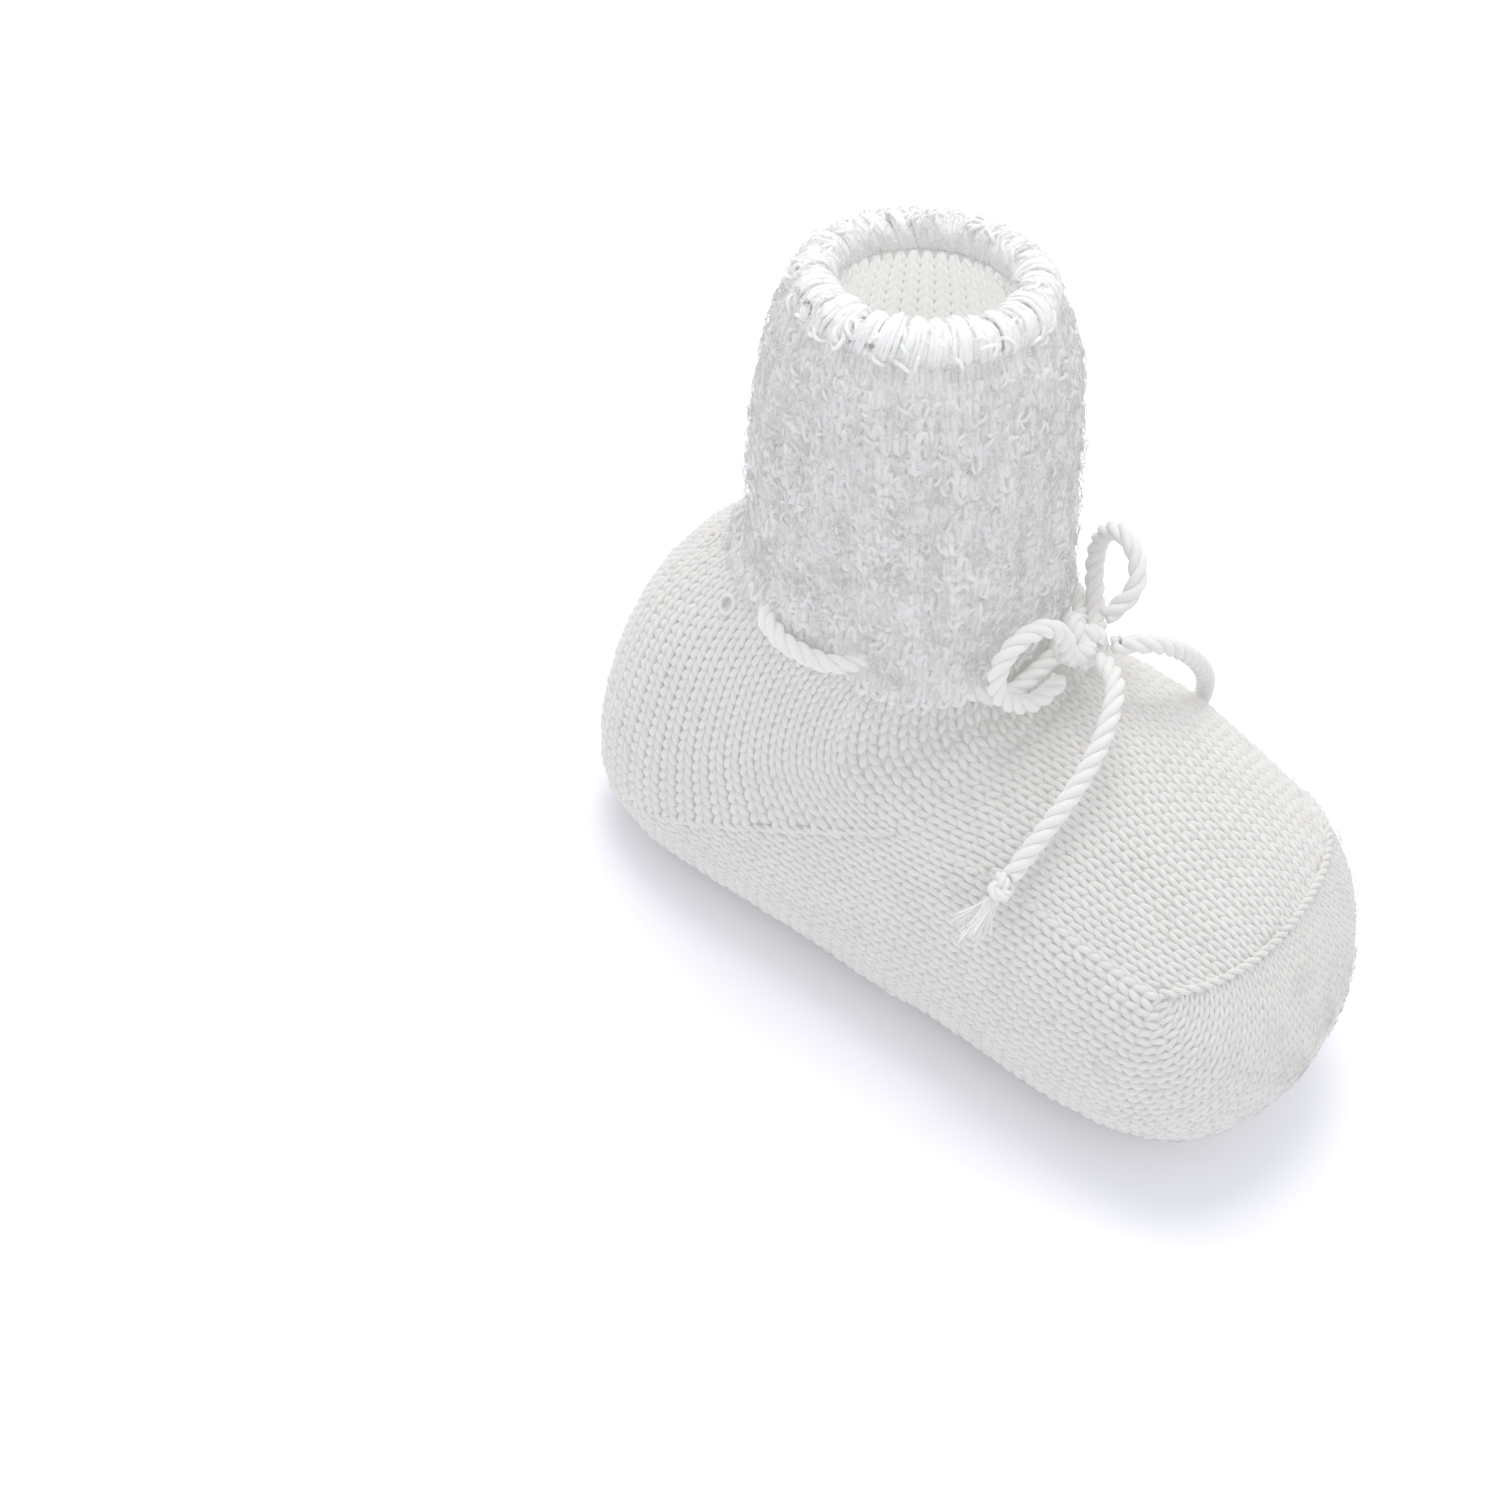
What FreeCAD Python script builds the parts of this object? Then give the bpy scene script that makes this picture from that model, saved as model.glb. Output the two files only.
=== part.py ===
"""Knitted baby bootie: a soft tube with a short-row heel and toe, a ribbed cuff and a drawcord tied in a bow.

Millimetres. +X points to the toe, +Y to the wearer's left, +Z up. The origin is on the ground under the
middle of the foot. The sole is flat on the ground and the cuff leans back a little.
"""
import FreeCAD
import Part
import math
import os

# ---- driving dimensions ----
FABRIC = 2.0            # thickness of the knitted wall
SEAM_RISE = 0.6         # how far the toe seam stands proud
SEAM_WIDTH = 1.6
GORE_WIDTH = 1.2
CORD = 2.5              # diameter of the drawcord
AROUND = 48             # points round one section
TOUCHING = 1e-4         # points nearer than this are one point

FOLD = (6.0, 53.0)      # middle of the crease in front of the ankle, (x, z)
CREASE_TOP = 5.0        # crease radius at the ankle
CREASE_FOOT = 6.0       # crease radius on the foot
TOE_TIP = 50.8
SOLE_PRESS = 0.5        # how far the soft sole is pressed flat by the ground

# Back and sole of the foot seen from the side, from the ankle round the heel: x, z, half breadth.
# The sole's rows lie a little below the ground, which cuts it flat.
HEEL_LINE = [
    (-39.0, 53.0, 19.5), (-40.6, 49.0, 19.7), (-44.5, 43.5, 20.0), (-48.0, 37.0, 20.3),
    (-50.0, 29.0, 20.6), (-50.5, 20.0, 20.8), (-49.6, 11.0, 21.0), (-46.5, 4.0, 21.2),
    (-41.0, 0.6, 21.5), (-33.0, -SOLE_PRESS, 22.0), (-23.0, -SOLE_PRESS, 22.6),
    (-11.0, -SOLE_PRESS, 23.4), (6.0, -SOLE_PRESS, 24.4),
]
# Front of the foot: x, top, bottom, half breadth. The last row is the toe tip.
TOE_LINE = [
    (6.0, 47.0, -SOLE_PRESS, 24.4), (15.0, 46.0, -SOLE_PRESS, 25.4), (24.0, 42.6, -0.4, 26.2),
    (31.0, 39.8, 0.2, 26.2), (38.0, 36.6, 1.5, 24.6), (44.0, 31.3, 4.2, 20.6), (48.0, 25.4, 8.3, 14.0),
    (TOE_TIP, 16.5, 16.5, 0.0),
]
TOP_ROUND = 2.25        # superellipse exponent over the instep
SOLE_ROUND = 2.65       # superellipse exponent under the foot
ANKLE_ROUND = 2.0
EASE_ANGLE = 40.0       # degrees round the crease over which the ankle's section turns into the foot's
TOE_CLOSE = 0.3         # the inner surface closes in over this part of the toe's places

ANKLE_TILT = 6.0        # degrees by which the ankle opening falls towards the heel
CUFF_TILT = 12.0        # degrees by which the cuff leans back at its rim
WAIST = (-19.0, 50.3)   # middle of the drawn-in waist at its lower edge, (x, z)
WAIST_RADIUS = 17.3
WAIST_LOW = 0.3         # the waist is straight between these two heights above its lower edge
WAIST_HIGH = 2.2
CORD_HEIGHT = 1.6       # height of the drawcord above the waist's lower edge
CORD_GAP = 0.05         # between the drawcord and the waist
CORNER_CUT = 0.45       # how much of a straight run of cord goes into the arc at each of its ends
HINGE_HEIGHT = 6.6      # height of the ankle's bending axis above the waist's lower edge
COLLAR_RADIUS = 16.5    # outside of the collar that stays inside the cuff
COLLAR_RISES = (-4.0, -2.6, -1.3, 0.0, 1.5, 3.0, 4.4)   # sections of the collar, from the bending axis
COLLAR_WALL = 1.3
EYELETS = 10
EYELET_BORE = 2.6

RIM = (-27.4, 88.8)     # middle of the cuff's upper edge, (x, z)
CUFF_RADII = [(0.0, 18.9), (0.2, 19.6), (0.45, 19.8), (0.7, 19.0), (0.88, 17.4), (1.0, 15.6)]
CUFF_WALL = [(0.0, 2.0), (0.6, 2.2), (1.0, 4.8)]
CUFF_SEAM_WIDTH = 1.8

HEEL_PIVOT = (-4.0, 32.6)       # where the heel's short rows meet at the side of the foot
HEEL_GORE_END = (-52.0, 0.0)    # the gore line is aimed at this point behind the heel
HEEL_TURN_TOP = (-60.0, 40.0)   # the heel's first short row is aimed at this point
GORE_MIDDLE = 7.0               # the gores stop this far from the middle of the foot
TOE_PIVOT = (33.0, 31.0)        # where the toe's short rows meet
TOE_GORE_END = (56.0, 14.3)
TOE_SEAM_END = (60.0, 40.0)
FAR = 90.0                      # larger than the bootie

KNOT = (3.6, 0.0, 53.6)
KNOT_SIZE = (2.8, 3.4, 2.8)     # half sizes along x, y, z
TAIL_KNOT_RADIUS = 2.0
TAIL_KNOT_SET = 0.8             # its middle is this part of its radius past the end of the cord
TASSEL_LENGTH = 7.0
TASSEL_RADII = (1.3, 2.3)
TASSEL_DROOP = 0.6              # the tassel keeps this part of the tail's sideways heading

# Routes of the free cord, from the bow knot outwards.
LOOP_RIGHT = [
    (4.8, -5.0, 55.2), (4.0, -6.2, 59.0), (2.0, -9.0, 61.8), (0.2, -12.8, 61.2),
    (-0.6, -15.2, 57.8), (0.2, -15.0, 53.6), (2.4, -12.2, 51.0), (4.3, -8.4, 50.6), (4.7, -5.2, 52.1),
]
LOOP_LEFT = [
    (4.9, 5.0, 55.3), (6.9, 7.2, 58.2), (5.6, 9.2, 61.8), (2.2, 10.4, 63.8),
    (-0.4, 12.0, 61.4), (-1.0, 13.2, 57.2), (0.6, 11.8, 53.4), (3.2, 8.6, 51.5), (4.7, 5.2, 52.1),
]
TAIL_RIGHT = [
    (7.7, -1.7, 54.6), (10.4, -3.8, 55.7), (12.2, -7.2, 54.4), (13.2, -10.8, 51.6), (13.4, -14.2, 48.2),
    (13.0, -17.8, 44.8), (12.3, -21.1, 41.3), (11.6, -24.0, 37.6),
]
TAIL_LEFT = [
    (7.7, 1.7, 54.6), (10.5, 3.4, 55.6), (13.0, 6.8, 54.4), (14.8, 10.8, 51.4), (15.9, 14.7, 47.6),
    (16.4, 18.4, 43.5), (16.4, 21.8, 39.1), (16.0, 24.8, 34.5), (15.4, 26.9, 29.9),
]


def vec(x, y, z):
    return FreeCAD.Vector(x, y, z)


def curve_through(knots):
    """Smooth curve through (place, value) knots that never overshoots between two of them."""
    xs = [float(k[0]) for k in knots]
    ys = [float(k[1]) for k in knots]
    last = len(xs) - 1
    steps = [xs[i + 1] - xs[i] for i in range(last)]
    rises = [(ys[i + 1] - ys[i]) / steps[i] for i in range(last)]
    slopes = [rises[0]] + [0.0] * (last - 1) + [rises[-1]]
    for i in range(1, last):
        if rises[i - 1] * rises[i] > 0:
            near = 2 * steps[i] + steps[i - 1]
            far = steps[i] + 2 * steps[i - 1]
            slopes[i] = (near + far) / (near / rises[i - 1] + far / rises[i])

    def value(x):
        x = min(max(x, xs[0]), xs[-1])
        i = 0
        while i < last - 1 and x > xs[i + 1]:
            i += 1
        t = (x - xs[i]) / steps[i]
        return ((2 * t**3 - 3 * t**2 + 1) * ys[i] + (t**3 - 2 * t**2 + t) * steps[i] * slopes[i]
                + (3 * t**2 - 2 * t**3) * ys[i + 1] + (t**3 - t**2) * steps[i] * slopes[i + 1])

    return value


def round_section(turn, front_power, back_power):
    """Point on a unit superellipse; turn 0 is the back, half a turn is the front."""
    c = -math.cos(turn)
    s = math.sin(turn)
    power = front_power if c > 0 else back_power
    scale = (abs(c)**power + abs(s)**power)**(-1 / power)
    return c * scale, s * scale


def turns():
    return [2 * math.pi * j / AROUND for j in range(AROUND + 1)]


# ---- the foot: sections that fan round the ankle crease, then stand upright along the foot ----
def heel_angle(x, z):
    return math.degrees(math.atan2(FOLD[1] - z, FOLD[0] - x))


heel_reach = curve_through([(heel_angle(x, z), math.hypot(x - FOLD[0], z - FOLD[1])) for x, z, b in HEEL_LINE])
heel_breadth = curve_through([(heel_angle(x, z), b) for x, z, b in HEEL_LINE])


def toe_place(x):
    """Runs from 0 at the toe tip to 1 at the crease, so that the tip comes out round."""
    return math.sqrt((TOE_TIP - x) / (TOE_TIP - FOLD[0]))


toe_rows = [(toe_place(x), top, bottom, b) for x, top, bottom, b in reversed(TOE_LINE)]
toe_top = curve_through([(q, top) for q, top, bottom, b in toe_rows])
toe_bottom = curve_through([(q, bottom) for q, top, bottom, b in toe_rows])
toe_breadth = curve_through([(q, b) for q, top, bottom, b in toe_rows])


def fan_ring(angle, inset):
    """Section of the ankle and heel in a plane through the crease, angle degrees below level."""
    near = CREASE_TOP + (CREASE_FOOT - CREASE_TOP) * angle / 90.0 + inset
    far = heel_reach(angle) - inset
    half = (far - near) / 2
    middle = (far + near) / 2
    breadth = heel_breadth(angle) - inset
    ease = min(1.0, angle / EASE_ANGLE)
    front = ANKLE_ROUND + (TOP_ROUND - ANKLE_ROUND) * ease
    back = ANKLE_ROUND + (SOLE_ROUND - ANKLE_ROUND) * ease
    slope = math.radians(angle)
    ring = []
    for turn in turns():
        c, s = round_section(turn, front, back)
        reach = middle - half * c
        ring.append(vec(FOLD[0] - reach * math.cos(slope), breadth * s, FOLD[1] - reach * math.sin(slope)))
    return ring


def toe_ring(place, inset):
    """Upright section of the foot; place is 1 at the crease and near 0 at the toe tip."""
    x = TOE_TIP - place**2 * (TOE_TIP - FOLD[0])
    x -= inset * (x - FOLD[0]) / (TOE_TIP - FOLD[0])
    top = toe_top(place)
    bottom = toe_bottom(place)
    shrink = inset * min(1.0, place / TOE_CLOSE)
    half = (top - bottom) / 2 - shrink
    breadth = toe_breadth(place) - shrink
    ring = []
    for turn in turns():
        c, s = round_section(turn, TOP_ROUND, SOLE_ROUND)
        ring.append(vec(x, breadth * s, (top + bottom) / 2 + half * c))
    return ring


FAN_STEPS = [0, 3, 6, 10, 15, 20, 26, 32, 38, 44, 50, 57, 65, 74, 82, 90]
TOE_STEPS = [0.95, 0.88, 0.8, 0.72, 0.64, 0.56, 0.48, 0.4, 0.32, 0.24, 0.16, 0.08]


def tube(rings):
    """Closed solid whose side passes through the rings and whose ends are flat."""
    surface = Part.BSplineSurface()
    surface.interpolate(rings)
    side = surface.toShape()
    ends = []
    for ring in (rings[0], rings[-1]):
        for edge in side.Edges:
            points = [v.Point for v in edge.Vertexes]
            if all(p.isEqual(ring[0], TOUCHING) for p in points):
                ends.append(Part.Face(Part.Wire([edge])))
    shell = Part.makeShell([side] + ends)
    shell.sewShape()
    solid = Part.makeSolid(shell)
    if solid.Volume < 0:
        solid.reverse()
    return solid


def foot_solid(inset):
    rings = [fan_ring(angle, inset) for angle in FAN_STEPS]
    rings += [toe_ring(place, inset) for place in TOE_STEPS]
    return tube(rings)


def slab(outline, low=-FAR, high=FAR):
    """Prism across the foot: outline is a list of (x, z) corners, low and high are its ends along y."""
    corners = [vec(x, low, z) for x, z in outline]
    face = Part.Face(Part.makePolygon(corners + corners[:1]))
    return face.extrude(vec(0, high - low, 0))


def strip(start, aim, width):
    """Corners of a band of the given width about the line from start to aim."""
    length = math.hypot(aim[0] - start[0], aim[1] - start[1])
    nx = -(aim[1] - start[1]) / length * width / 2
    nz = (aim[0] - start[0]) / length * width / 2
    return [(start[0] + nx, start[1] + nz), (aim[0] + nx, aim[1] + nz),
            (aim[0] - nx, aim[1] - nz), (start[0] - nx, start[1] - nz)]


# ---- places on the tilted ankle ----
def ankle_point(forward, side, height, tilt=ANKLE_TILT, middle=WAIST):
    """Point given by its distances from the middle of the waist, in the tilted plane of the ankle."""
    c = math.cos(math.radians(tilt))
    s = math.sin(math.radians(tilt))
    return vec(middle[0] + forward * c - height * s, side, middle[1] + forward * s + height * c)


HINGE = ankle_point(0, 0, HINGE_HEIGHT)


def ankle_ring(radius, height):
    ring = []
    for turn in turns():
        c, s = round_section(turn, ANKLE_ROUND, ANKLE_ROUND)
        ring.append(ankle_point(radius * c, radius * s, height))
    return ring


def eyelet_band():
    """Waist that the drawcord runs round, with a collar that stays inside the cuff as the cuff tips."""
    outer = [fan_ring(ANKLE_TILT, 0.0)]
    inner = [fan_ring(ANKLE_TILT, FABRIC)]
    for height in (WAIST_LOW, CORD_HEIGHT, WAIST_HIGH):
        outer.append(ankle_ring(WAIST_RADIUS, height))
        inner.append(ankle_ring(WAIST_RADIUS - FABRIC, height))
    for rise in COLLAR_RISES:
        radius = math.sqrt(COLLAR_RADIUS**2 - rise**2)
        outer.append(ankle_ring(radius, HINGE_HEIGHT + rise))
        inner.append(ankle_ring(radius - COLLAR_WALL, HINGE_HEIGHT + rise))
    band = stacked(outer).cut(stacked(inner))
    across = ankle_point(0, 0, CORD_HEIGHT)
    for j in range(EYELETS):
        turn = 2 * math.pi * (j + 0.5) / EYELETS
        outward = ankle_point(math.cos(turn), math.sin(turn), CORD_HEIGHT) - across
        bore = Part.makeCylinder(EYELET_BORE / 2, WAIST_RADIUS + FABRIC, across, outward)
        band = band.cut(bore)
    return band


def stacked(rings):
    """Solid with straight walls between neighbouring rings."""
    wires = []
    for ring in rings:
        curve = Part.BSplineCurve()
        curve.interpolate(ring[:-1], PeriodicFlag=True)
        wires.append(Part.Wire([curve.toShape()]))
    return Part.makeLoft(wires, True, True)


def drawcord_run(knot):
    middle = ankle_point(0, 0, CORD_HEIGHT)
    up = ankle_point(0, 0, CORD_HEIGHT + 1) - middle
    ring = Part.makeTorus(WAIST_RADIUS + CORD_GAP + CORD / 2, CORD / 2, middle, up)
    return ring.cut(knot)


# ---- the cuff ----
cuff_radius = curve_through(CUFF_RADII)
cuff_wall = curve_through(CUFF_WALL)


def cuff_ring(rise, inset):
    """Section of the cuff; rise is 0 at its lower edge and 1 at its rim."""
    middle = (HINGE.x + rise * (RIM[0] - HINGE.x), HINGE.z + rise * (RIM[1] - HINGE.z))
    tilt = ANKLE_TILT + (CUFF_TILT - ANKLE_TILT) * min(max(rise, 0.0), 1.0)
    radius = cuff_radius(rise) - inset
    ring = []
    for turn in turns():
        c, s = round_section(turn, ANKLE_ROUND, ANKLE_ROUND)
        ring.append(ankle_point(radius * c, radius * s, 0.0, tilt, middle))
    return ring


def cuff_shell():
    steps = [0, 0.1, 0.2, 0.32, 0.45, 0.58, 0.7, 0.8, 0.9, 1.0]
    outer = tube([cuff_ring(rise, 0.0) for rise in steps])
    inner = tube([cuff_ring(rise, cuff_wall(rise)) for rise in [-0.08] + steps + [1.08]])
    return outer.cut(inner)


def cuff_edging():
    """Rounded rim that stands on the cuff's upper edge."""
    wall = cuff_wall(1.0)
    middle = vec(RIM[0], 0, RIM[1])
    up = ankle_point(0, 0, 1, CUFF_TILT, RIM) - middle
    ring = Part.makeTorus(cuff_radius(1.0) - wall / 2, wall / 2, middle, up)
    keep = Part.makeCylinder(FAR, FAR, middle, up)
    return ring.common(keep)


# ---- the cord ----
def cord_path(name, route):
    """Straight runs joined by tangent arcs, each arc as large as its two runs allow."""
    points = [vec(*p) for p in route]
    edges = []
    start = points[0]
    radii = []
    for before, corner, after in zip(points, points[1:], points[2:]):
        towards = (corner - before).normalize()
        onwards = (after - corner).normalize()
        turn = towards.getAngle(onwards)
        cut = CORNER_CUT * min((corner - before).Length, (after - corner).Length)
        radii.append(cut / math.tan(turn / 2))
        first = corner - towards * cut
        last = corner + onwards * cut
        bisector = (onwards - towards).normalize()
        centre = corner + bisector * (radii[-1] / math.cos(turn / 2))
        edges.append(Part.LineSegment(start, first).toShape())
        edges.append(Part.Arc(first, centre - bisector * radii[-1], last).toShape())
        start = last
    edges.append(Part.LineSegment(start, points[-1]).toShape())
    path = Part.Wire(edges)
    print(name, "length", round(path.Length, 1), "smallest radius", round(min(radii), 1))
    return path


def cord_tube(name, route, round_ends):
    path = cord_path(name, route)
    start = vec(*route[0])
    heading = vec(*route[1]) - start
    profile = Part.Wire([Part.makeCircle(CORD / 2, start, heading)])
    solid = path.makePipeShell([profile], True, False)
    expected = math.pi * CORD**2 / 4 * path.Length
    print(name, "volume against section times length", round(solid.Volume / expected, 4))
    for end in round_ends:
        solid = solid.fuse(Part.makeSphere(CORD / 2, vec(*end)))
    return solid


def stretched_ball(middle, half_sizes):
    ball = Part.makeSphere(1.0)
    matrix = FreeCAD.Matrix()
    matrix.scale(*half_sizes)
    ball = ball.transformGeometry(matrix)
    ball.translate(vec(*middle))
    return ball


def tail_set(side, route):
    """Free end of the drawcord with the knot near its end and the frayed tassel below."""
    end = vec(*route[-1])
    heading = (end - vec(*route[-2])).normalize()
    knot_middle = end + heading * (TAIL_KNOT_SET * TAIL_KNOT_RADIUS)
    knot = Part.makeSphere(TAIL_KNOT_RADIUS, knot_middle)
    below = vec(heading.x, heading.y * TASSEL_DROOP, heading.z).normalize()
    tassel = Part.makeCone(TASSEL_RADII[0], TASSEL_RADII[1], TASSEL_LENGTH, knot_middle, below).cut(knot)
    tail = cord_tube("cord_tail_" + side, route, route[:1]).cut(knot)
    return {"cord_tail_" + side: tail, "tail_knot_" + side: knot, "tassel_" + side: tassel}


# ---- all nodes ----
def foot_panels():
    """Panels of the foot, cut from one soft shell along its short-row lines and its toe seam."""
    opening_edge = fan_ring(ANKLE_TILT, 0.0)
    front = max(opening_edge, key=lambda p: p.x)
    back = min(opening_edge, key=lambda p: p.x)
    rise = (front.z - back.z) / (front.x - back.x)
    above = slab([(-FAR, back.z + (-FAR - back.x) * rise), (FOLD[0], front.z + (FOLD[0] - front.x) * rise),
                  (FOLD[0], FAR), (-FAR, FAR)])
    inside = foot_solid(FABRIC)
    ground = slab([(-FAR, -FAR), (FAR, -FAR), (FAR, 0), (-FAR, 0)])
    shell = foot_solid(0.0).cut(inside).cut(above).cut(ground)
    raised = foot_solid(-SEAM_RISE).cut(inside)

    heel_gore = strip(HEEL_PIVOT, HEEL_GORE_END, GORE_WIDTH)
    toe_gore = strip(TOE_PIVOT, TOE_GORE_END, GORE_WIDTH)
    toe_seam = strip(TOE_PIVOT, TOE_SEAM_END, SEAM_WIDTH)
    nodes = {}
    for side, low, high in (("left", GORE_MIDDLE, FAR), ("right", -FAR, -GORE_MIDDLE)):
        nodes["heel_gore_" + side] = shell.common(slab(heel_gore, low, high))
        nodes["toe_gore_" + side] = shell.common(slab(toe_gore, low, high))
    nodes["toe_seam"] = raised.common(slab(toe_seam)).cut(slab(toe_gore))

    hx, hz = HEEL_PIVOT
    tx, tz = TOE_PIVOT
    outlines = {
        "ankle_panel": [(hx, hz), HEEL_TURN_TOP, (-FAR, FAR), (hx, FAR)],
        "heel_back": [(hx, hz), HEEL_GORE_END, (-FAR, -1.0), HEEL_TURN_TOP],
        "heel_under": [(hx, hz), HEEL_GORE_END, (-FAR, -1.0), (-FAR, -FAR), (hx, -FAR)],
        "sole_panel": [(hx, hz), (hx, -FAR), (tx, -FAR), (tx, tz)],
        "instep_panel": [(hx, hz), (tx, tz), TOE_SEAM_END, (TOE_SEAM_END[0], FAR), (hx, FAR)],
        "toe_top": [(tx, tz), TOE_GORE_END, (FAR, TOE_GORE_END[1]), (FAR, TOE_SEAM_END[1]), TOE_SEAM_END],
        "toe_under": [(tx, tz), TOE_GORE_END, (FAR, TOE_GORE_END[1]), (FAR, -FAR), (tx, -FAR)],
    }
    seams = [slab(heel_gore, GORE_MIDDLE, FAR), slab(heel_gore, -FAR, -GORE_MIDDLE),
             slab(toe_gore, GORE_MIDDLE, FAR), slab(toe_gore, -FAR, -GORE_MIDDLE), slab(toe_seam)]
    for name, outline in outlines.items():
        panel = shell.common(slab(outline))
        for seam in seams:
            panel = panel.cut(seam)
        nodes[name] = panel
    return nodes


def cuff_nodes():
    shell = cuff_shell()
    seam = slab([(-FAR, 0), (RIM[0] - 1, 0), (RIM[0] - 1, 2 * FAR), (-FAR, 2 * FAR)],
                -CUFF_SEAM_WIDTH / 2, CUFF_SEAM_WIDTH / 2)
    return {"cuff_tube": shell.cut(seam), "cuff_back_seam": shell.common(seam), "cuff_edging": cuff_edging()}


def cord_nodes():
    knot = stretched_ball(KNOT, KNOT_SIZE)
    nodes = {"drawcord_run": drawcord_run(knot), "bow_knot": knot}
    for side, route in (("right", LOOP_RIGHT), ("left", LOOP_LEFT)):
        nodes["bow_loop_" + side] = cord_tube("bow_loop_" + side, route, (route[0], route[-1]))
    nodes.update(tail_set("right", TAIL_RIGHT))
    nodes.update(tail_set("left", TAIL_LEFT))
    return nodes


def build():
    nodes = {}
    nodes.update(foot_panels())
    nodes["eyelet_band"] = eyelet_band()
    nodes.update(cuff_nodes())
    nodes.update(cord_nodes())
    return nodes


def main():
    os.makedirs("parts", exist_ok=True)
    print("bending axis of the cuff at x", round(HINGE.x, 2), "z", round(HINGE.z, 2))
    for name, shape in build().items():
        solids = shape.Solids
        print(name, "solids", len(solids), "valid", shape.isValid(), "volume", round(shape.Volume, 1))
        part = solids[0] if len(solids) == 1 else Part.makeCompound(solids)
        part.exportStep("parts/" + name + ".step")


main()
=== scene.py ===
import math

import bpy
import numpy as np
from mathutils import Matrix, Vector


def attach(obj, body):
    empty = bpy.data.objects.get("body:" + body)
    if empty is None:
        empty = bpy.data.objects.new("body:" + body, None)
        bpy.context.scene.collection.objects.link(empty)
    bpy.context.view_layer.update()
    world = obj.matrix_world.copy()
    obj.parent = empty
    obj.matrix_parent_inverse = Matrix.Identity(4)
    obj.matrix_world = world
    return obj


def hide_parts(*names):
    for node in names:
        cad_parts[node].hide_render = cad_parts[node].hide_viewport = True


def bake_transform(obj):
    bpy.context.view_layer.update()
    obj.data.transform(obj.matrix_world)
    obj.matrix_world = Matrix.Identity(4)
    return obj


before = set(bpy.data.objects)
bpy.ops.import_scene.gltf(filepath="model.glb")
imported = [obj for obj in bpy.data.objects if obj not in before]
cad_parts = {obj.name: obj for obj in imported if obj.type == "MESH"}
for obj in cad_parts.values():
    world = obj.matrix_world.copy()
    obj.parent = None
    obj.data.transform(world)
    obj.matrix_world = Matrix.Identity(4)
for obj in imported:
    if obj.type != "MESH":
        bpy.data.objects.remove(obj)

# %% [markdown]
# # A knitted baby bootie
#
# The real bootie is knitted in the round from one soft white yarn. The foot shows the smooth side of the
# knitting, with its columns of small Vs. The cuff is worn with the bumpy, fuzzy side out, and a plied cord
# runs round the ankle and is tied in a bow. This file makes what is seen: every stitch is a short piece of
# yarn, laid on the surface of the foot or the cuff.

MM = 0.001
TURN = 2 * math.pi
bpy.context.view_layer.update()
rng = np.random.default_rng(7)

# %% [markdown]
# ## Camera
#
# The camera looks down on the bootie from its right side and a little from the toe, from half a metre
# away. It is rolled, because the picture should show the leg upright although it leans back from the
# sole. A long lens keeps the small object free of strong perspective. A camera matrix built from its own
# three directions says this more exactly than a tracking constraint.

# %% Camera
AZIMUTH = math.radians(13.4)
ELEVATION = math.radians(41.6)
ROLL = math.radians(20.0)
DISTANCE = 0.480
LENS = 93.3
LOOK_AT = Vector((-0.003, 0.0, 0.035))
ASIDE = 0.0293          # how far the bootie sits to the right of the picture's middle
ABOVE = 0.0030

towards = Vector((math.sin(AZIMUTH) * math.cos(ELEVATION), -math.cos(AZIMUTH) * math.cos(ELEVATION),
                  math.sin(ELEVATION)))
level = Vector((math.cos(AZIMUTH), math.sin(AZIMUTH), 0.0))
upright = towards.cross(level)
right = math.cos(ROLL) * level + math.sin(ROLL) * upright
up = towards.cross(right)
back = (towards * DISTANCE + right * ASIDE + up * ABOVE).normalized()
right = (right - back * right.dot(back)).normalized()
up = back.cross(right)

lens = bpy.data.cameras.new("camera")
lens.lens = LENS
lens.sensor_width = 36.0
lens.clip_start = 0.01
camera = bpy.data.objects.new("camera", lens)
camera.matrix_world = Matrix((
    (right.x, up.x, back.x, LOOK_AT.x + towards.x * DISTANCE),
    (right.y, up.y, back.y, LOOK_AT.y + towards.y * DISTANCE),
    (right.z, up.z, back.z, LOOK_AT.z + towards.z * DISTANCE),
    (0.0, 0.0, 0.0, 1.0)))
bpy.context.scene.collection.objects.link(camera)
bpy.context.scene.camera = camera
print("camera at", [round(c, 3) for c in camera.location])

# %% [markdown]
# ## Shader maths
#
# Finishes are written as plain expressions. The class below stands for one output of a shader tree, and
# adding or multiplying it adds the matching Math node, so a pattern reads like the formula it is.

# %% Shader helper
class Value:
    """One number or vector that flows through a shader tree."""

    def __init__(self, recipe, socket):
        self.recipe = recipe
        self.socket = socket

    def maths(self, kind, first, second):
        return self.recipe.node("ShaderNodeMath", {"operation": kind}, {0: first, 1: second}).out(0)

    def __add__(self, other):
        return self.maths("ADD", self, other)

    def __mul__(self, other):
        return self.maths("MULTIPLY", self, other)

    __radd__ = __add__
    __rmul__ = __mul__

    def sine(self):
        return self.maths("SINE", self, 0.0)


class Node:
    """A shader node with its outputs as values."""

    def __init__(self, recipe, node):
        self.recipe = recipe
        self.node = node

    def out(self, key):
        return Value(self.recipe, self.node.outputs[key])


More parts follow.
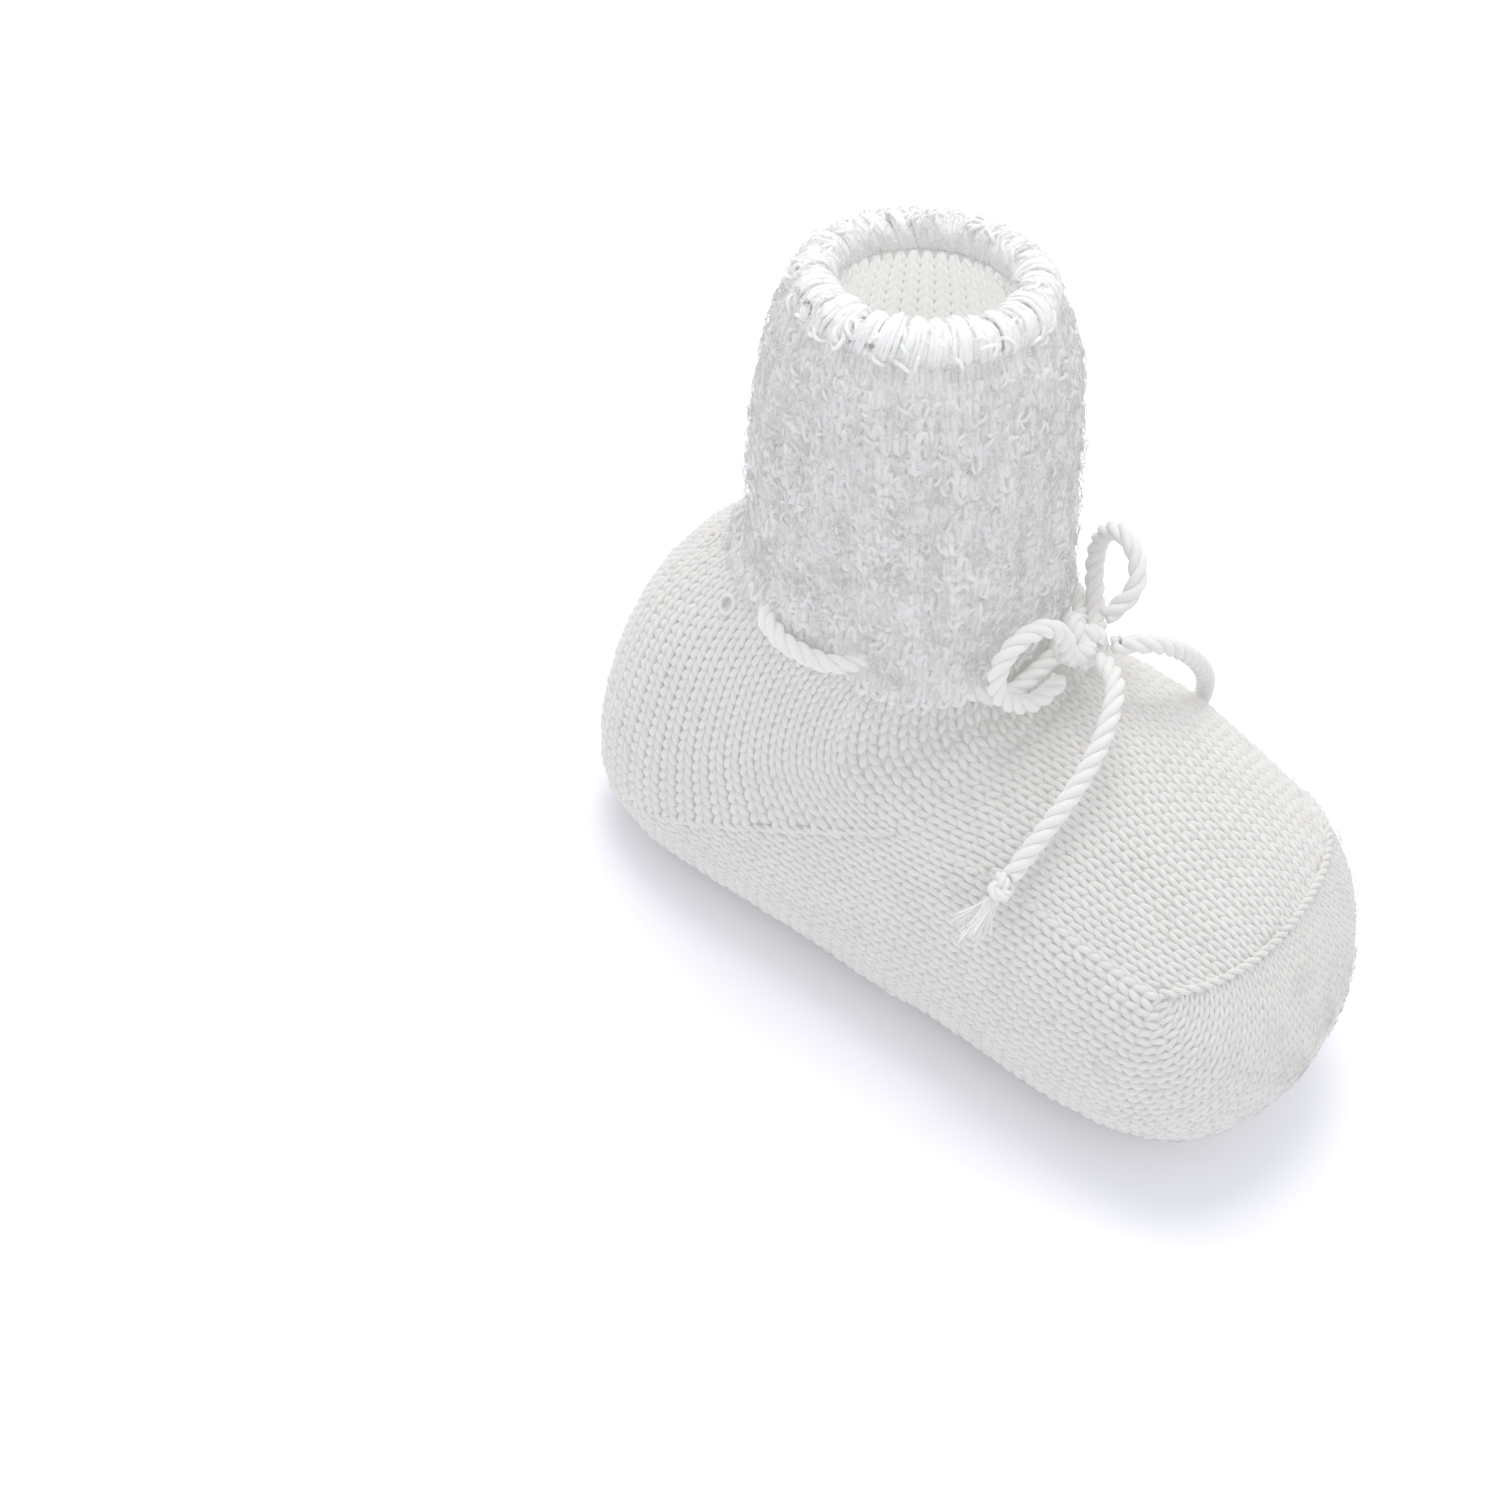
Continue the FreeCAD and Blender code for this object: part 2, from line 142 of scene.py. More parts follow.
class Recipe:
    """A material under construction."""

    def __init__(self, name):
        self.material = bpy.data.materials.new(name)
        self.material.use_nodes = True
        self.tree = self.material.node_tree
        self.shader = self.tree.nodes["Principled BSDF"]

    def node(self, kind, settings, sockets):
        """Adds a node: its settings first, then the values or links of its sockets."""
        node = self.tree.nodes.new(kind)
        for key, value in settings.items():
            setattr(node, key, value)
        for key, value in sockets.items():
            self.plug(node.inputs[key], value)
        return Node(self, node)

    def plug(self, socket, value):
        """Links a value to a socket, or sets the socket to a constant."""
        if isinstance(value, Value):
            self.tree.links.new(value.socket, socket)
        else:
            socket.default_value = value

    def finish(self, sockets):
        """Fills sockets of the material's own shader."""
        for key, value in sockets.items():
            self.plug(self.shader.inputs[key], value)

    def noise(self, coordinates, scale, detail=2.0):
        """Cloudy value from 0 to 1; scale is in clouds to the metre."""
        sockets = {"Vector": coordinates, "Scale": scale, "Detail": detail}
        return self.node("ShaderNodeTexNoise", {}, sockets).out(0)

    def mix(self, factor, first, second):
        """Colour between first and second."""
        return self.node("ShaderNodeMix", {"data_type": "RGBA"}, {0: factor, 6: first, 7: second}).out(2)


# %% [markdown]
# ## Yarn finishes
#
# Cotton yarn is matt and a little translucent, with a soft sheen from its loose fibres. Every finish also
# glows a little in its own colour, a painted light that lifts the shade so the hollows between stitches are
# never dark. Each finish reads the yarn's own UV map, where u runs along the yarn and v round it, and draws
# the twist of the plies as slanting ridges, with painted shade darkening the colour in the grooves between
# them. Cloudy tone in object coordinates keeps the white from being one flat colour.

# %% Yarn finishes
CLOUDS, FIBRES = 170.0, 2600.0      # sizes of the tint's clouds and of the fibres, in clouds to the metre


def yarn_finish(name, light, shade, twists, ridge, painted_glow):
    """Twisted yarn: ridge height is the sine of twist turns along u plus turns round v, plus fibre noise."""
    recipe = Recipe(name)
    place = recipe.node("ShaderNodeTexCoord", {}, {})
    uv = recipe.node("ShaderNodeSeparateXYZ", {}, {0: place.out("UV")})
    cloud = recipe.noise(place.out("Object"), CLOUDS)
    fibre = recipe.noise(place.out("Object"), FIBRES, 3.0)
    twist = ((uv.out(0) * twists + uv.out(1) * 2.0) * TURN).sine() * 0.5 + 0.5
    # Random tone from the clouds and fibres, times painted shade that darkens the colour in the grooves
    # between the plies.
    tint_and_groove_shade = (cloud * 0.7 + fibre * 0.3) * (0.8 + 0.2 * twist)
    colour = recipe.mix(tint_and_groove_shade, (*shade, 1.0), (*light, 1.0))
    height = twist * ridge + fibre * (1.0 - ridge)
    bump = recipe.node("ShaderNodeBump", {}, {"Strength": 0.45, "Distance": 0.0001, "Height": height})
    # The emission in the yarn's own colour is painted light: the yarn glows a little, which lifts the shade
    # between the stitches.
    recipe.finish({
        "Base Color": colour, "Emission Color": colour, "Emission Strength": painted_glow,
        "Normal": bump.out("Normal"), "Roughness": 0.8 + 0.15 * fibre, "Specular IOR Level": 0.25,
        "Sheen Weight": 0.35, "Sheen Roughness": 0.5,
        "Subsurface Weight": 0.12, "Subsurface Scale": 0.0012})
    return recipe.material


foot_yarn = yarn_finish("foot_yarn", (0.68, 0.678, 0.655), (0.62, 0.618, 0.595), 2.0, 0.5, 0.17)
cuff_yarn = yarn_finish("cuff_yarn", (0.71, 0.708, 0.695), (0.65, 0.65, 0.64), 300.0, 0.25, 0.21)
rim_yarn = yarn_finish("rim_yarn", (0.80, 0.798, 0.785), (0.73, 0.73, 0.72), 4.0, 0.4, 0.17)
cord_yarn = yarn_finish("cord_yarn", (0.76, 0.757, 0.74), (0.69, 0.69, 0.675), 14.0, 0.35, 0.15)
# The inside of the cuff is the same yarn, painted much lighter and glowing more: painted light for the light
# that falls into the mouth.
painted_light_inner_yarn = yarn_finish("painted_light_inner_yarn", (0.90, 0.898, 0.885), (0.83, 0.83, 0.82), 2.0, 0.4, 0.26)
lining_yarn = yarn_finish("lining_yarn", (0.69, 0.687, 0.67), (0.64, 0.64, 0.625), 40.0, 0.3, 0.2)
print("finishes:", [m.name for m in bpy.data.materials if m.name.endswith("yarn")])

# %% [markdown]
# ## From arrays to meshes
#
# All shapes are worked out as whole arrays of points in millimetres. One function turns them into a mesh:
# it takes quads, triangles and a UV for each corner, and shades the faces smooth. Writing the arrays with
# foreach_set keeps a fabric of a hundred thousand faces quick.

# %% Mesh helper
FLOOR_GAP = 0.02        # no point of the bootie comes nearer to the floor than this


def unit(vectors):
    """The vectors, each scaled to a length of 1."""
    return vectors / np.linalg.norm(vectors, axis=-1, keepdims=True)


def signed_volume(points, quads, tris):
    """Sum of the tetrahedra from the origin to every triangle; it is negative if the faces look inward."""
    a, b, c = points[np.concatenate([quads[:, [0, 1, 2]], quads[:, [0, 2, 3]], tris])].swapaxes(0, 1)
    return (a * np.cross(b, c)).sum() / 6


def add_piece(name, points, quads, tris, uv, finish, slot, body, nodes=()):
    """Mesh from points (n, 3) in mm, quads (a, 4), triangles (b, 3) and the uv of every point (n, 2)."""
    quads = np.asarray(quads, np.int32).reshape(-1, 4)
    tris = np.asarray(tris, np.int32).reshape(-1, 3)
    points = np.maximum(points, [-np.inf, -np.inf, FLOOR_GAP])
    if signed_volume(points, quads, tris) < 0:
        quads, tris = quads[:, ::-1], tris[:, ::-1]
    corners = np.concatenate([quads.ravel(), tris.ravel()])
    starts = np.concatenate([np.arange(len(quads)) * 4, len(quads) * 4 + np.arange(len(tris)) * 3])
    mesh = bpy.data.meshes.new(name)
    mesh.vertices.add(len(points))
    mesh.vertices.foreach_set("co", (points * MM).astype(np.float32).ravel())
    mesh.loops.add(len(corners))
    mesh.loops.foreach_set("vertex_index", corners)
    mesh.polygons.add(len(starts))
    mesh.polygons.foreach_set("loop_start", starts.astype(np.int32))
    mesh.polygons.foreach_set("use_smooth", np.ones(len(starts), bool))
    layer = mesh.uv_layers.new(name="UVMap")
    layer.data.foreach_set("uv", np.asarray(uv, np.float32)[corners].ravel())
    mesh.update(calc_edges=True)
    mesh.validate()
    mesh.materials.append(finish)
    piece = bpy.data.objects.new(name, mesh)
    bpy.context.scene.collection.objects.link(piece)
    if body == "ankle":
        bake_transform(piece)
    else:
        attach(piece, body)
    if nodes:
        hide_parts(*nodes)
    print(f"{name}: {2 * len(quads) + len(tris)} triangles")
    return piece


def roll_faces(rings, sides):
    """Quads of a tube that closes on itself both ways."""
    ring = np.arange(rings)[:, None]
    side = np.arange(sides)
    onward, after = (ring + 1) % rings, (side + 1) % sides
    corners = [ring * sides + side, ring * sides + after, onward * sides + after, onward * sides + side]
    return np.stack(corners, -1).reshape(-1, 4)


def tube_faces(rings, sides):
    """Quads and end triangles of a tube: rings of points, then the start pole and the end pole."""
    side = np.arange(sides)
    after = (side + 1) % sides
    start = rings * sides
    last = start - sides
    tris = np.concatenate([
        np.stack([after, side, np.full(sides, start)], -1),
        np.stack([last + side, last + after, np.full(sides, start + 1)], -1)])
    return roll_faces(rings, sides)[:-sides], tris


def repeat_faces(faces, count, step):
    """The same faces for count copies of a shape that has step points."""
    return (faces + (np.arange(count) * step)[:, None, None]).reshape(-1, faces.shape[-1])


def side_directions(along, references):
    """Two unit vectors across each direction, the first one square to the reference."""
    first = unit(np.cross(along, references))
    return first, unit(np.cross(along, first))


def ring_points(paths, along, references, radius, sides):
    """Rings round the paths: middle + radius * (cos a * first + sin a * second side direction)."""
    first, second = side_directions(along, references)
    turn = (np.arange(sides) * TURN / sides)[:, None]
    ring = np.cos(turn) * first[..., None, :] + np.sin(turn) * second[..., None, :]
    return paths[..., None, :] + ring * np.broadcast_to(radius, paths.shape[:-1])[..., None, None]


def tubes(paths, radius, sides, references):
    """Tubes round n paths of k points, each closed by two poles: points, quads, triangles and uv."""
    n, k = paths.shape[:2]
    references = np.broadcast_to(references, (n, 3))[:, None]
    rings = ring_points(paths, np.gradient(paths, axis=1), references, radius, sides)
    points = np.concatenate([rings.reshape(n, -1, 3), paths[:, :1], paths[:, -1:]], 1)
    run = np.cumsum(np.linalg.norm(np.diff(paths, axis=1, prepend=paths[:, :1]), axis=-1), 1)
    u = np.repeat(run / run[:, -1:], sides, axis=1)
    v = np.broadcast_to(np.tile(np.arange(sides) / sides, k), u.shape)
    uv = np.concatenate([np.stack([u, v], -1), np.broadcast_to([[0.0, 0.5], [1.0, 0.5]], (n, 2, 2))], 1)
    quads, tris = tube_faces(k, sides)
    step = k * sides + 2
    faces = [repeat_faces(f, n, step) for f in (quads, tris)]
    return points.reshape(-1, 3), *faces, uv.reshape(-1, 2)


# %% [markdown]
# ## The cord
#
# The cord is three plies of the same yarn twisted together, about 2.5 mm thick. Its bow has two loops and
# two short tails, and each tail ends in a small knot with the yarn frayed below it. A route of a few
# points is made into one smooth spline, and the plies are carried along it as helices.

# %% Routes of the free cord, in mm
LOOP_RIGHT = [
    (4.8, -5.0, 55.2), (4.0, -6.2, 59.0), (2.0, -9.0, 61.8), (0.2, -12.8, 61.2),
    (-0.6, -15.2, 57.8), (0.2, -15.0, 53.6), (2.4, -12.2, 51.0), (4.3, -8.4, 50.6),
    (4.7, -5.2, 52.1),
]
LOOP_LEFT = [
    (4.9, 5.0, 55.3), (6.9, 7.2, 58.2), (5.6, 9.2, 61.8), (2.2, 10.4, 63.8), (-0.4, 12.0, 61.4),
    (-1.0, 13.2, 57.2), (0.6, 11.8, 53.4), (3.2, 8.6, 51.5), (4.7, 5.2, 52.1),
]
TAIL_RIGHT = [
    (7.7, -1.7, 54.6), (10.4, -3.8, 55.7), (12.2, -7.2, 54.4), (13.2, -10.8, 51.6),
    (13.4, -14.2, 48.2), (13.0, -17.8, 44.8), (12.3, -21.1, 41.3), (11.6, -24.0, 37.6),
]
TAIL_LEFT = [
    (7.7, 1.7, 54.6), (10.5, 3.4, 55.6), (13.0, 6.8, 54.4), (14.8, 10.8, 51.4), (15.9, 14.7, 47.6),
    (16.4, 18.4, 43.5), (16.4, 21.8, 39.1), (16.0, 24.8, 34.5), (15.4, 26.9, 29.9),
]
CORD = 2.35
PLIES = 3
PLUMP = 1.12            # the plies press into each other by this much
PLY_LAY = 6.4           # length along the cord in which a ply goes once round
POINTS_PER_MM = 2.4


def smooth_route(name, route):
    """Points in mm read from a NURBS spline that has the route as its control points."""
    data = bpy.data.curves.new(name, "CURVE")
    data.dimensions = "3D"
    data.resolution_u = 12
    spline = data.splines.new("NURBS")
    spline.points.add(len(route) - 1)
    spline.points.foreach_set("co", [c for x, y, z in route for c in (x * MM, y * MM, z * MM, 1.0)])
    spline.order_u = 3
    spline.use_endpoint_u = True
    line = bpy.data.objects.new(name, data)
    bpy.context.scene.collection.objects.link(line)
    bpy.context.view_layer.update()
    mesh = bpy.data.meshes.new_from_object(line)
    points = np.array([v.co for v in mesh.vertices]) / MM
    bpy.data.objects.remove(line)
    bpy.data.meshes.remove(mesh)
    return points


def lengths_along(path):
    """Length along the path from its start to each of its points."""
    steps = np.linalg.norm(np.diff(path, axis=0), axis=1)
    return np.concatenate([[0.0], np.cumsum(steps)])


def read_at(places, run, values):
    """Rows of values that belong to the lengths run, read at other lengths along the line."""
    return np.stack([np.interp(places, run, value) for value in values.T], -1)


def even_path(path, count):
    """The path again with evenly spaced points."""
    run = lengths_along(path)
    return read_at(np.linspace(0, run[-1], count), run, path)


def plied_line(name, path, diameter, reference, body, nodes, plies=PLIES, lay=PLY_LAY, plump=PLUMP, sides=8,
               finish=cord_yarn, slot="cord_yarn"):
    """Plies laid round the path as helices: ply k sits at angle turns-along plus k parts of a turn."""
    path = even_path(path, max(12, int(lengths_along(path)[-1] * POINTS_PER_MM)))
    first, second = side_directions(np.gradient(path, axis=0), reference)
    ply = diameter / 2 / (1 + 1 / math.sin(math.pi / plies))
    angle = (lengths_along(path) / lay + np.arange(plies)[:, None] / plies)[..., None] * TURN
    paths = path + (diameter / 2 - ply) * (np.cos(angle) * first + np.sin(angle) * second)
    return add_piece(name, *tubes(paths, ply * plump, sides, reference), finish, slot, body, nodes)


def declare_cord(path):
    """Works out the cord's start point and route in metres, and keeps neither."""
    tuple(path[0] * MM)
    (path * MM).tolist()


# %% [markdown]
# ## Knots and tassels
#
# A knot is the cord wound through itself. The trefoil curve winds through itself in the same way, so the
# bow's knot and the small knots on the tails are plied cord carried along a trefoil. Below each small
# knot the plies are left open, so the tassel is a bunch of thin yarns that spread and curl.

# %% Knots, tassels, loops and tails
YARNS = 26              # yarns in a tassel
SPREAD = 2.4            # how far the outermost yarns of a tassel spread
END_KNOT = (1.35, 1.35, 1.3)    # sizes of the knot at a tail's end
KNOT_STEP = 1.6         # from a tail's end to the middle of its knot
TASSEL = 6.6            # length of a tassel


def trefoil(middle, sizes, turned, count=90):
    """Closed trefoil: x = sin t + 2 sin 2t, y = cos t - 2 cos 2t, z = -1.6 sin 3t, scaled and turned."""
    t = np.linspace(0, TURN, count)
    curve = [np.sin(t) + 2 * np.sin(2 * t), np.cos(t) - 2 * np.cos(2 * t), -1.6 * np.sin(3 * t)]
    curve = np.stack(curve, -1) / 3.0 * np.asarray(sizes)
    c, s = math.cos(turned), math.sin(turned)
    tilt = np.array([[c, 0, s], [0, 1, 0], [-s, 0, c]])
    return curve @ tilt.T + np.asarray(middle)


def knot_piece(name, middle, sizes, turned, diameter, body, node):
    """Plied cord along a trefoil."""
    path = trefoil(middle, sizes, turned)
    return plied_line(name, path, diameter, [0.31, 0.22, 0.93], body, [node], lay=4.0)


def tassel_piece(name, start, heading, length, body, node):
    """Thin yarns that leave the knot together, spread sideways with a power of the way, and curl."""
    heading = unit(heading)
    across = unit(np.cross(heading, [1.0, 0.0, 0.0]))
    other = np.cross(heading, across)
    values = rng.uniform([0, 0.1, -0.5, 0.7], [TURN, 1.0, 0.5, 1.05], (YARNS, 4))
    angle, spread, curl, reach = values.T[..., None, None]
    side = np.cos(angle) * across + np.sin(angle) * other
    swirl = np.sin(angle) * across - np.cos(angle) * other
    way = np.linspace(0, 1, 9)[:, None]
    paths = (start + heading * way * length * reach + side * (0.5 + spread * SPREAD * way**1.7)
             + swirl * curl * np.sin(way * 5))
    return add_piece(name, *tubes(paths, 0.2, 5, [0.9, 0.3, 0.31]), cord_yarn, "cord_yarn", body, [node])


knot_piece("bow_knot_cord", (4.0, -0.2, 54.0), (2.7, 2.8, 2.5), 0.5, 2.5, "foot", "bow_knot")
for side, loop, tail in (("right", LOOP_RIGHT, TAIL_RIGHT), ("left", LOOP_LEFT, TAIL_LEFT)):
    path = smooth_route("route", loop)
    reference = [0.85, -0.45, 0.28] if side == "right" else [0.25, 0.93, 0.28]
    piece = plied_line("loop_cord_" + side, path, CORD, reference, "loop_" + side, ["bow_loop_" + side])
    declare_cord(path)
    path = smooth_route("route", tail)
    body = "tail_" + side
    heading = unit(path[-1] - path[-4])
    middle = path[-1] + heading * KNOT_STEP
    knot = knot_piece("tail_end_knot_" + side, middle, END_KNOT, 0.9, 1.5, body, "tail_knot_" + side)
    hang = heading * np.array([1.0, 0.6, 1.0])
    tassel = tassel_piece("tail_tassel_" + side, middle + heading, hang, TASSEL, body, "tassel_" + side)
    piece = plied_line("tail_cord_" + side, path, CORD, [0.95, 0.1, 0.3], body, ["cord_tail_" + side])
    declare_cord(path)

# %% [markdown]
# ## The surface of the foot
#
# The sole, heel and instep are one smooth skin. Round the ankle its sections fan about the crease in
# front, and along the foot they stand upright and shrink to the round toe. The skin is wanted in three
# ways: as points for a place along the foot and a turn round it, as the nearest such point to any point,
# and as a number that is 1 on the skin and less inside, which rays and normals are found from.

# %% Surface of the foot
FOLD = (6.0, 53.0)
TOE_TIP = 50.8
ANKLE_PLACE = 6.0 / 90.0        # where the ankle opening lies along the foot
ANKLE_ROUND, TOP_ROUND, SOLE_ROUND = 2.0, 2.25, 2.65
HEEL_LINE = np.array([          # x, z and half breadth, from the ankle round the heel to under the crease
    (-39.0, 53.0, 19.5), (-40.6, 49.0, 19.7), (-44.5, 43.5, 20.0), (-48.0, 37.0, 20.3),
    (-50.0, 29.0, 20.6), (-50.5, 20.0, 20.8), (-49.6, 11.0, 21.0), (-46.5, 4.0, 21.2),
    (-41.0, 0.6, 21.5), (-33.0, -0.5, 22.0), (-23.0, -0.5, 22.6), (-11.0, -0.5, 23.4), (6.0, -0.5, 24.4)])
TOE_LINE = np.array([           # x, top, bottom and half breadth, from the toe tip back to the crease
    (50.8, 16.5, 16.5, 0.0), (48.0, 25.4, 8.3, 14.0), (44.0, 31.3, 4.2, 20.6), (38.0, 36.6, 1.5, 24.6),
    (31.0, 39.8, 0.2, 26.2), (24.0, 42.6, -0.4, 26.2), (15.0, 46.0, -0.5, 25.4), (6.0, 47.0, -0.5, 24.4)])


def smooth_through(places, values):
    """Curve through knots that never overshoots: cubic pieces with weighted harmonic mean slopes."""
    places = np.asarray(places, float)
    values = np.asarray(values, float)
    steps = np.diff(places)
    rises = np.diff(values) / steps
    same = rises[:-1] * rises[1:] > 0
    before = np.where(same, rises[:-1], 1.0)
    after = np.where(same, rises[1:], 1.0)
    near = 2 * steps[1:] + steps[:-1]
    far = steps[1:] + 2 * steps[:-1]
    inner = np.where(same, (near + far) / (near / before + far / after), 0.0)
    slopes = np.concatenate([rises[:1], inner, rises[-1:]])

    def value(x):
        x = np.clip(x, places[0], places[-1])
        i = np.clip(np.searchsorted(places, x, side="right") - 1, 0, len(steps) - 1)
        t = (x - places[i]) / steps[i]
        return ((2 * t**3 - 3 * t**2 + 1) * values[i] + (t**3 - 2 * t**2 + t) * steps[i] * slopes[i]
                + (3 * t**2 - 2 * t**3) * values[i + 1] + (t**3 - t**2) * steps[i] * slopes[i + 1])

    return value


heel_angles = np.degrees(np.arctan2(FOLD[1] - HEEL_LINE[:, 1], FOLD[0] - HEEL_LINE[:, 0]))
heel_reach = smooth_through(heel_angles, np.hypot(HEEL_LINE[:, 0] - FOLD[0], HEEL_LINE[:, 1] - FOLD[1]))
heel_breadth = smooth_through(heel_angles, HEEL_LINE[:, 2])
crease = smooth_through([0, 90], [5, 6])
toe_places = np.sqrt((TOE_TIP - TOE_LINE[:, 0]) / (TOE_TIP - FOLD[0]))
toe_top = smooth_through(toe_places, TOE_LINE[:, 1])
toe_bottom = smooth_through(toe_places, TOE_LINE[:, 2])
toe_breadth = smooth_through(toe_places, TOE_LINE[:, 3])


def exponents(angle, front):
    """Superellipse exponent: it eases from round at the ankle to the foot's own over 40 degrees of fan."""
    foot = np.where(front, TOP_ROUND, SOLE_ROUND)
    return ANKLE_ROUND + (foot - ANKLE_ROUND) * np.clip(angle / 40.0, 0, 1)


def foot_surface(place, turn):
    """Skin point: place 0 to 1 is the fan's 90 degrees, 1 to 2 the foot; turn 0 is the top or front."""
    place, turn = np.broadcast_arrays(np.asarray(place, float), np.asarray(turn, float))
    c, s = np.cos(turn), np.sin(turn)
    angle = np.clip(place, 0, 1) * 90.0
    power = exponents(angle, c > 0)
    scale = (np.abs(c)**power + np.abs(s)**power)**(-1 / power)
    c, s = c * scale, s * scale
    near, far, slope = crease(angle), heel_reach(angle), np.radians(angle)
    reach = (far + near) / 2 - (far - near) / 2 * c
    fan = [FOLD[0] - reach * np.cos(slope), heel_breadth(angle) * s, FOLD[1] - reach * np.sin(slope)]
    q = np.clip(2 - place, 0, 1)
    top, bottom = toe_top(q), toe_bottom(q)
    height = (top + bottom) / 2 + (top - bottom) / 2 * c
    foot = [TOE_TIP - q**2 * (TOE_TIP - FOLD[0]), toe_breadth(q) * s, height]
    return np.where((place <= 1)[..., None], np.stack(fan, -1), np.stack(foot, -1))


def section_place(points):
    """Place along the foot, and the two normalised distances from the section's middle, of any points."""
    x, y, z = np.moveaxis(np.asarray(points, float), -1, 0)
    angle = np.clip(np.degrees(np.arctan2(FOLD[1] - z, np.maximum(FOLD[0] - x, 1e-6))), 0, 90)
    near, far = crease(angle), heel_reach(angle)
    reach = np.hypot(FOLD[0] - x, FOLD[1] - z)
    q = np.sqrt(np.clip((TOE_TIP - x) / (TOE_TIP - FOLD[0]), 1e-4, 1))
    top, bottom = toe_top(q), toe_bottom(q)
    heel = x < FOLD[0]
    front = np.where(heel, (far + near - 2 * reach) / (far - near), (2 * z - top - bottom) / (top - bottom))
    side = y / np.where(heel, heel_breadth(angle), toe_breadth(q))
    return np.where(heel, angle / 90.0, 2 - q), front, side


def on_surface(points):
    """The skin point that lies in the same section and direction as each point."""
    place, front, side = section_place(points)
    return foot_surface(place, np.arctan2(side, front))


def depth(points):
    """1 on the skin, less inside, more outside."""
    place, front, side = section_place(points)
    power = exponents(np.clip(place, 0, 1) * 90.0, front > 0)
    return (np.abs(front)**power + np.abs(side)**power)**(1 / power)


TIP_CAP = 0.6           # the skin's last bit before the toe tip, where the normal turns straight ahead
SLOPE_STEP = 0.05


def outward(points):
    """Unit normals of the skin: the direction in which depth grows fastest, and ahead at the toe tip."""
    slopes = unit(np.stack([depth(points + o) - depth(points - o) for o in np.eye(3) * SLOPE_STEP], -1))
    near_tip = np.clip(1 - (TOE_TIP - np.asarray(points)[..., 0:1]) / TIP_CAP, 0, 1)
    return unit(slopes * (1 - near_tip) + np.array([1.0, 0.0, 0.0]) * near_tip)


def halved(low, high, is_low):
    """The place between low and high where is_low stops being true, found by thirty halvings."""
    for _ in range(30):
        middle = (low + high) / 2
        below = is_low(middle)
        low, high = np.where(below, middle, low), np.where(below, high, middle)
    return low


def plane_section(pivot, aim, count=241):
    """Where the half plane from the crosswise line at pivot towards aim cuts the skin, right to left.

    Rays in the half plane leave the middle of the line, and halving finds where each meets the skin."""
    pivot = np.array([pivot[0], 0.0, pivot[1]])
    ahead = unit(np.array([aim[0], 0.0, aim[1]]) - pivot)
    turn = np.linspace(0, math.pi, count)[:, None]
    rays = np.sin(turn) * ahead - np.cos(turn) * np.array([0.0, 1.0, 0.0])
    far = np.full_like(turn, 90.0)
    return pivot + rays * halved(far * 0, far, lambda reach: depth(pivot + rays * reach)[:, None] < 1)


probe = foot_surface(np.linspace(0.1, 1.9, 7), 1.0)
print("skin points are at depth", np.round(depth(probe), 3))

# %% [markdown]
# ## Columns of stitches
#
# In knitting, stitches stand in columns called wales. On a bootie with a short-row heel and toe the wales
# fan from the ankle down to a line on each side of the heel, turn there and run along the sole, and circle
# a point on each side of the toe up to the toe seam. The wales of the instep run from the ankle over the
# foot to the same seam. Each wale is a line on the skin, and stitches stand on it at even steps.

# %% Lines of the wales
HEEL_PIVOT, HEEL_GORE_END = (-4.0, 32.6), (-52.0, 0.0)
TOE_PIVOT, TOE_SEAM_END = (33.0, 31.0), (60.0, 40.0)
SIDE_TURN = math.radians(69.0)          # the heel and instep wales meet at this turn of the ankle
TOE_SIDE_TURN = math.radians(56.5)      # the sole and instep wales meet at this turn near the toe
BACK_WALES, FRONT_WALES = 42, 28
STITCH_HEIGHT = 1.62
STEPS = 90                              # points on each wale's line

heel_pivot_place, toe_pivot_place = section_place([(p[0], -24.0, p[1]) for p in (HEEL_PIVOT, TOE_PIVOT)])[0]


def even_fractions(curve, count):
    """Points at the middles of count equal parts of a curve."""
    run = lengths_along(curve)
    return read_at((np.arange(count) + 0.5) / count * run[-1], run, curve)


def side_turn(place):
    """Turn of the boundary between back and instep wales: constant at the ankle, then rising to the toe."""
    ease = np.clip((place - heel_pivot_place) / (toe_pivot_place - heel_pivot_place), 0, 1)
    return SIDE_TURN + (TOE_SIDE_TURN - SIDE_TURN) * ease


def ruled_wales(starts, ends, first_place, last_place):
    """Straight lines from starts to ends, bent near both sides to follow the boundary, put on the skin."""
    way = np.linspace(0, 1, STEPS)[None, :, None]
    lines = starts[:, None] * (1 - way) + ends[:, None] * way
    places = np.linspace(first_place, last_place, STEPS)
    edge = foot_surface(places, -side_turn(places))
    bend = edge - (edge[0] + (edge[-1] - edge[0]) * way[0])
    share = np.linspace(0, 1, len(starts))[:, None, None]
    mirror = np.array([1.0, -1.0, 1.0])
    lines = lines + np.clip(1 - 2 * share, 0, 1)**2 * bend + np.clip(2 * share - 1, 0, 1)**2 * bend * mirror
    return on_surface(lines)


def toe_wales():
    """Wales that circle the toe pivot from straight down to the seam, at their share of each section."""
    seam = math.atan2(TOE_SEAM_END[1] - TOE_PIVOT[1], TOE_SEAM_END[0] - TOE_PIVOT[0])
    angles = np.linspace(-math.pi / 2, seam, STEPS)
    aims = [(TOE_PIVOT[0] + math.cos(angle), TOE_PIVOT[1] + math.sin(angle)) for angle in angles]
    return np.stack([even_fractions(plane_section(TOE_PIVOT, aim), BACK_WALES) for aim in aims], 1)


